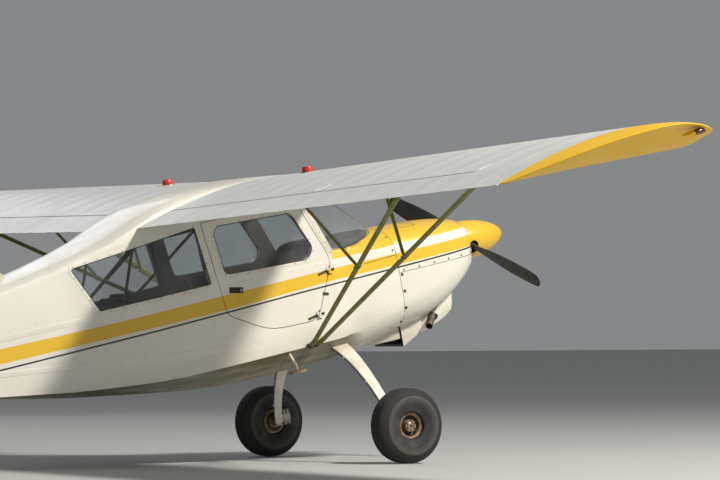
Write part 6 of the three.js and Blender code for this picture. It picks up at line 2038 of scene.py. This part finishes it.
for side, sign in (("left", 1), ("right", -1)):
    row = post_row(sign)
    strip = bead(Shape(), row, POST_HALF, POST_HEIGHT, FLAT_BEAD)
    make("screen_post_" + side, strip, [gear_cream], "airframe", angle=30)
    heads = [raised(row, POST_HEIGHT)]
    screw_rows("screen_screws_" + side, heads, "airframe", screw_grey, 0.088, 0.0050, 0.0024)

lips = Shape()
for sign in (1, -1):
    outline = rounded_outline([(y * sign, z, r) for y, z, r in INTAKE])
    row = [from_front(point.x, point.y) for point in grown(outline, 0.006)]
    bead(lips, row, 0.0065, 0.0060, closed=True)
make("intake_lips", lips, [body_paint], "airframe", angle=60)
print("faces in the lips of the air inlets:", len(lips.faces))

# %% [markdown]
# Under the nose a fairing closes the step behind the air outlet. The exhaust leaves the chin through a
# hole at its right side, shown as a black sheet on the skin that is painted shade, and bends down and
# back. It is a tube with a wall, so its rings run along the outside and come back a little way along
# the inside.

# %% Belly fairing and exhaust
BELLY_STATIONS = [(0.236, -0.575, -0.592), (0.300, -0.562, -0.598), (0.450, -0.536, -0.602),
                  (0.6315, -0.500, -0.6055)]
EXHAUST_HOLE = (0.968, -0.502)
EXHAUST_HOLE_HALF = (0.047, 0.030)
EXHAUST_RADIUS = 0.028
EXHAUST_WALL = 0.0025
EXHAUST_PATH = [(1.000, -0.110, -0.470), (0.965, -0.158, -0.494), (0.925, -0.196, -0.524),
                (0.880, -0.232, -0.556)]


def belly_fairing():
    rings = []
    for x, top, low in BELLY_STATIONS:
        half = [(0.190, top), (0.190, low + 0.016), (0.186, low + 0.006), (0.176, low)]
        rings.append([Vector((x, y, z)) for y, z in half] + [Vector((x, -y, z)) for y, z in reversed(half)])
    return Shape().loft(rings)


# A black sheet over the hole: painted shade for the dark inside of the chin.
def exhaust_hole_shade():
    rings = []
    for scale, lift in ((1.0, -0.003), (1.0, 0.0012), (0.5, 0.0012), (0.08, 0.0012)):
        ring = []
        for turn in around(32):
            x = EXHAUST_HOLE[0] + EXHAUST_HOLE_HALF[0] * scale * math.cos(turn)
            z = EXHAUST_HOLE[1] + EXHAUST_HOLE_HALF[1] * scale * math.sin(turn)
            ring.append(from_side(x, z, -1))
        rings.append([place for place, _ in raised(ring, lift)])
    return Shape().loft(rings)


def exhaust_pipe():
    rows = [Vector(row) for row in smooth_through(EXHAUST_PATH, 6)]
    walls = []
    for radius in (EXHAUST_RADIUS, EXHAUST_RADIUS - EXHAUST_WALL):
        wall = []
        for index, row in enumerate(rows):
            _, side, up = unit_frame(rows[min(index + 1, len(rows) - 1)] - rows[max(index - 1, 0)])
            wall.append([row + (side * math.cos(turn) + up * math.sin(turn)) * radius for turn in around(28)])
        walls.append(wall)
    outer, inner = walls
    return Shape().loft(outer + inner[:4:-1])


make("belly_fairing", belly_fairing(), [body_paint], "airframe", angle=30)
make("exhaust_hole_shade", exhaust_hole_shade(), [flat_black_and_shade], "airframe", angle=40)
make("exhaust_tail", exhaust_pipe(), [burnt_steel], "airframe", ["exhaust_pipe"], 40)
print("faces in the exhaust's tail:", len(made[-1].data.polygons))

# %% [markdown]
# The chin is the scoop under the nose. A black seam runs along its under side on the right, and also
# stands in as painted shade along the edge where the chin's side meets the cowl. Its front carries an
# air filter: a dark panel laid on the skin, a rounded frame round it, and five upright bars across it.

# %% Chin seam and air filter
CHIN_SEAM = (1.185, 0.855, 20)
CHIN_SEAM_SIDE = -0.1765
FILTER_HALF, FILTER_LOW, FILTER_HIGH = 0.105, -0.495, -0.405


# A black bead for the joint, also standing in as painted shade where the chin's side meets the cowl.
def chin_seam_and_shade():
    row = [hit(body_tree, (x, CHIN_SEAM_SIDE, -RAY_START), (0, 0, 1)) for x in between(*CHIN_SEAM)]
    return bead(Shape(), row, 0.0024, 0.0018)


def filter_column(y):
    return [from_front(y, z) for z in between(FILTER_LOW, FILTER_HIGH, 6)]


def chin_filter():
    rings = []
    for y in between(-FILTER_HALF, FILTER_HALF, 16):
        column = filter_column(y)
        ring = raised(column, 0.0012) + raised(column[::-1], -0.003)
        rings.append([place for place, _ in ring])
    shape = Shape().loft(rings)
    corners = [(1, FILTER_HIGH), (-1, FILTER_HIGH), (-1, FILTER_LOW), (1, FILTER_LOW)]
    outline = rounded_outline([(sign * FILTER_HALF, z, 0.012) for sign, z in corners])
    bead(shape.finish(1), [from_front(point.x, point.y) for point in outline], 0.0060, 0.0045, closed=True)
    for y in between(-FILTER_HALF, FILTER_HALF, 6)[1:-1]:
        bead(shape.finish(2), filter_column(y), 0.0022, 0.0028)
    return shape


make("chin_seam_and_shade", chin_seam_and_shade(), [seal_black], "airframe", angle=50)
make("chin_filter", chin_filter(), [flat_black_and_shade, body_paint, dark_metal], "airframe", angle=40)
print("bars in the filter:", len(between(-FILTER_HALF, FILTER_HALF, 6)[1:-1]))

# %% [markdown]
# The windscreen's foot is a curve over the deck, close to half an ellipse seen from above. Ahead of the
# panel a dark shield covers the deck against glare, rolled over at its rear edge. A strip and a rubber
# seal follow the same curve outside. Steps along it are fine where it bends, at its two ends.

# %% Glare shield and the windscreen's foot
DECK_REAR = 0.062
SHIELD_HALF = 0.386
SHIELD_LIFT = 0.0045
SHIELD_SUNK = 0.0005
SHIELD_LIP = [(0.040, 0.0040), (0.031, 0.0015), (0.0255, -0.0050), (0.0255, -0.0140), (0.0285, -0.0145),
              (0.0285, -0.0050)]
FOOT_ROW_HALF = 0.388
deck_tree = skin_tree(["boot_cowl"])


def across_deck(half, steps):
    return [half * math.sin(turn) for turn in between(-math.pi / 2, math.pi / 2, steps)]


def screen_foot(y):
    return 0.030 + 0.530 * math.sqrt(max(1 - (abs(y) / 0.399) ** 2.6, 0))


def deck(x, y):
    place, normal = hit(deck_tree, (max(x, DECK_REAR), y, 1.0), (0, 0, -1))
    return Vector((x, y, place.z)), normal


def glare_shield():
    rings = []
    for y in across_deck(SHIELD_HALF, 60):
        stations = between(screen_foot(y) - 0.013, 0.050, 14)
        top = [deck(x, y)[0] + Vector((0, 0, SHIELD_LIFT)) for x in stations]
        foot = [deck(x, y)[0] - Vector((0, 0, SHIELD_SUNK)) for x in reversed(stations)]
        rear = deck(DECK_REAR, y)[0].z
        rings.append(top + [Vector((x, y, rear + rise)) for x, rise in SHIELD_LIP] + foot)
    return Shape().loft(rings)


def foot_row(shift):
    return [deck(screen_foot(y) + shift, y) for y in across_deck(FOOT_ROW_HALF, 72)]


shield_black = make_paint("shield_black", rgb(0.030, 0.031, 0.035), rgb(0.055, 0.052, 0.048), 0.75, scale=8.0)
make("glare_shield", glare_shield(), [shield_black], "airframe", angle=40)
foot_strip = bead(Shape(), foot_row(0.0125), 0.0105, 0.0018, FLAT_BEAD)
make("screen_foot_strip", foot_strip, [body_paint], "airframe", angle=30)
foot_seal = bead(Shape(), foot_row(0.001), 0.0030, 0.0026)
make("screen_foot_seal", foot_seal, [seal_black], "airframe", angle=50)
print("faces in the glare shield:", len(made[-3].data.polygons))

# %% [markdown]
# Two last details of the nose: the seam of the oil door on the upper cowl, and the screws that hold the
# spinner on its back plate. The screws turn with the airscrew, so they ride on it.

# %% Oil door and spinner screws
OIL_DOOR = [(0.78, -0.235, 0.012), (0.92, -0.225, 0.012), (0.92, -0.125, 0.012), (0.78, -0.130, 0.012)]
SPINNER_SCREWS_AHEAD = 0.013

oil_row = [from_above(*point) for point in grown(rounded_outline(OIL_DOOR), 0.0, 0.012)]
oil_door = bead(Shape(), oil_row, 0.0018, 0.0014, closed=True)
make("oil_door_seam", oil_door, [seal_black], "airframe", angle=50)

plate_row = []
for turn in between(0.0, 2 * math.pi, 72):
    out = Vector((0, math.sin(turn), math.cos(turn)))
    centre = Vector((SPINNER_BACK + SPINNER_SCREWS_AHEAD, 0, 0))
    plate_row.append((centre + out * (SPINNER_RADIUS - 0.0002), out))
screw_rows("spinner_screws", [plate_row], "airscrew", screw_grey, 0.122, 0.0052, 0.0026)
print("pieces so far:", len(made))

# %% [markdown]
# The tailwheel is a small solid tyre with two grooves on a pressed hub. Both are the same on the left and
# on the right, so only half of each outline is written down. Its spring leaf is held by a clamp with
# four bolts.

# %% Tailwheel
TAIL_AXLE = Vector((-4.850, 0.0, -0.288))
TAIL_TYRE_RADIUS = 0.108


TAIL_TYRE_HALF = [(0.0215, 0.047), (0.0245, 0.052), (0.0290, 0.064), (0.0302, 0.077), (0.0285, 0.088),
                  (0.0245, 0.0975), (0.0180, 0.1035), (0.0105, TAIL_TYRE_RADIUS - 0.0010),
                  (0.0085, TAIL_TYRE_RADIUS - 0.0036), (0.0060, TAIL_TYRE_RADIUS - 0.0036),
                  (0.0045, TAIL_TYRE_RADIUS - 0.0002)]
TAIL_HUB_HALF = [(0.0220, 0.0077), (0.0220, 0.0150), (0.0190, 0.0165), (0.0130, 0.0200), (0.0120, 0.0340),
                 (0.0170, 0.0385), (0.0225, 0.0400), (0.0232, 0.0455), (0.0212, 0.0468)]
CLAMP_BOLT = [(0.0, 0.0), (0.0, 0.0085), (0.007, 0.0085), (0.0085, 0.006), (0.0085, 0.0)]
CLAMP_UNDER = -0.0958

tail_rubber = make_rubber("tail_rubber", TAIL_AXLE, TAIL_TYRE_RADIUS)
tyre = Shape().turned(both_ways(TAIL_TYRE_HALF), TAIL_AXLE, (0, 1, 0), 64, closed=True)
make("tail_tyre", tyre, [tail_rubber], "tail_wheel", ["tailwheel"], 40)
hub = Shape().turned(both_ways(TAIL_HUB_HALF), TAIL_AXLE, (0, 1, 0), 48, closed=True)
make("tail_hub", hub, [bare_steel], "tail_wheel", angle=40)
clamp_bolts = Shape()
for x in (-4.250, -4.310):
    for y in (-0.031, 0.031):
        clamp_bolts.turned(CLAMP_BOLT, (x, y, CLAMP_UNDER), (0, 0, -1), 6)
make("tail_clamp_bolts", clamp_bolts, [bare_steel], "airframe", angle=30)
print("tailwheel's radius:", TAIL_TYRE_RADIUS)

# %% [markdown]
# The left half of the elevator has a trim tab, outlined by a seam on both its faces and moved by a rod
# between a small horn and a block. A light sits at the rear edge of the rudder. Both ride on their
# surfaces, and the tab's seam is looked up on the elevator's own skin.

# %% Trim tab and tail light
TAB = [(-4.972, 0.440), (-4.900, 0.440), (-4.900, 0.860), (-4.966, 0.860)]
TAB_MIDDLE = 0.640
LIGHT_SEAT = Vector((-5.085, 0.0, 0.330))
LIGHT_WAY = (-0.96, 0, -0.28)
LIGHT_BASE = [(0.0, 0.0), (0.0, 0.0150), (0.009, 0.0150), (0.009, 0.0)]
LIGHT_LENS = [(0.0085, 0.0), (0.0085, 0.0130), (0.016, 0.0125), (0.022, 0.0095), (0.0250, 0.0050),
              (0.0258, 0.0)]
elevator_tree = skin_tree(["elevator"])


def elevator_point(x, y, side):
    return hit(elevator_tree, (x, y, 0.150 + side), (0, 0, -side))


def trim_tab():
    shape = Shape()
    for side in (1, -1):
        row = []
        for (x0, y0), (x1, y1) in zip(TAB, TAB[1:]):
            steps = zip(between(x0, x1, 12), between(y0, y1, 12))
            row += [elevator_point(x, y, side) for x, y in steps][:-1]
        bead(shape, row + [elevator_point(*TAB[-1], side)], 0.0018, 0.0014)
    horn, _ = elevator_point(-4.922, TAB_MIDDLE, -1)
    shape.finish(1).box(horn + Vector((-0.016, -0.002, -0.026)), horn + Vector((0.016, 0.002, 0.002)), 0.001)
    front, _ = elevator_point(-4.640, TAB_MIDDLE, -1)
    shape.box(front + Vector((-0.012, -0.006, -0.020)), front + Vector((0.012, 0.006, 0.002)), 0.002)
    shape.tube([horn + Vector((0, 0, -0.020)), front + Vector((0, 0, -0.014))], 0.003, 10)
    return shape


make("trim_tab", trim_tab(), [seal_black, dark_metal], "elevator_surface")
light = Shape().turned(LIGHT_BASE, LIGHT_SEAT, LIGHT_WAY, 24)
light.finish(1).turned(LIGHT_LENS, LIGHT_SEAT, LIGHT_WAY, 24)
make("tail_light", light, [dark_metal, gauge_white], "rudder_surface")
print("pieces in all:", len(made))

# %% [markdown]
# A packed solid is a bag of loose triangles, so each face would catch the light on its own. Its mesh
# may not be changed, but a modifier may: Geometry Nodes merge the points that lie together and then
# shade smoothly over every edge that turns less than a given angle. Real corners stay crisp.

# %% Smoothing for the packed solids
def smoothing_tree():
    tree, new, link = new_tree("merge_and_smooth", Edge_angle="Float")
    start = new("NodeGroupInput")
    merge = new("GeometryNodeMergeByDistance")
    merge.inputs["Distance"].default_value = ALIKE
    angle = new("GeometryNodeInputMeshEdgeAngle")
    compare = new("FunctionNodeCompare")
    compare.operation = "LESS_THAN"
    faces = new("GeometryNodeSetShadeSmooth")
    edges = new("GeometryNodeSetShadeSmooth")
    edges.domain = "EDGE"
    end = new("NodeGroupOutput")
    link(start.outputs["Geometry"], merge.inputs["Geometry"])
    link(merge.outputs["Geometry"], faces.inputs["Geometry"])
    link(faces.outputs["Geometry"], edges.inputs["Geometry"])
    link(angle.outputs["Unsigned Angle"], compare.inputs["A"])
    link(start.outputs["Edge angle"], compare.inputs["B"])
    link(compare.outputs["Result"], edges.inputs["Shade Smooth"])
    link(edges.outputs["Geometry"], end.inputs["Geometry"])
    return tree


smoothing = smoothing_tree()


def smooth_by_angle(obj, degrees):
    modifier = obj.modifiers.new("merge_and_smooth", "NODES")
    modifier.node_group = smoothing
    modifier[socket_id(smoothing, "Edge angle")] = math.radians(degrees)


for name, (_, angle) in NODE_FINISH.items():
    smooth_by_angle(nodes[name], angle)
print("solids smoothed:", len(NODE_FINISH))

# %% [markdown]
# Last comes the number of pieces made here. The library treats the solids' box as the size of the part.

# %% End
print("pieces made here:", len(made))
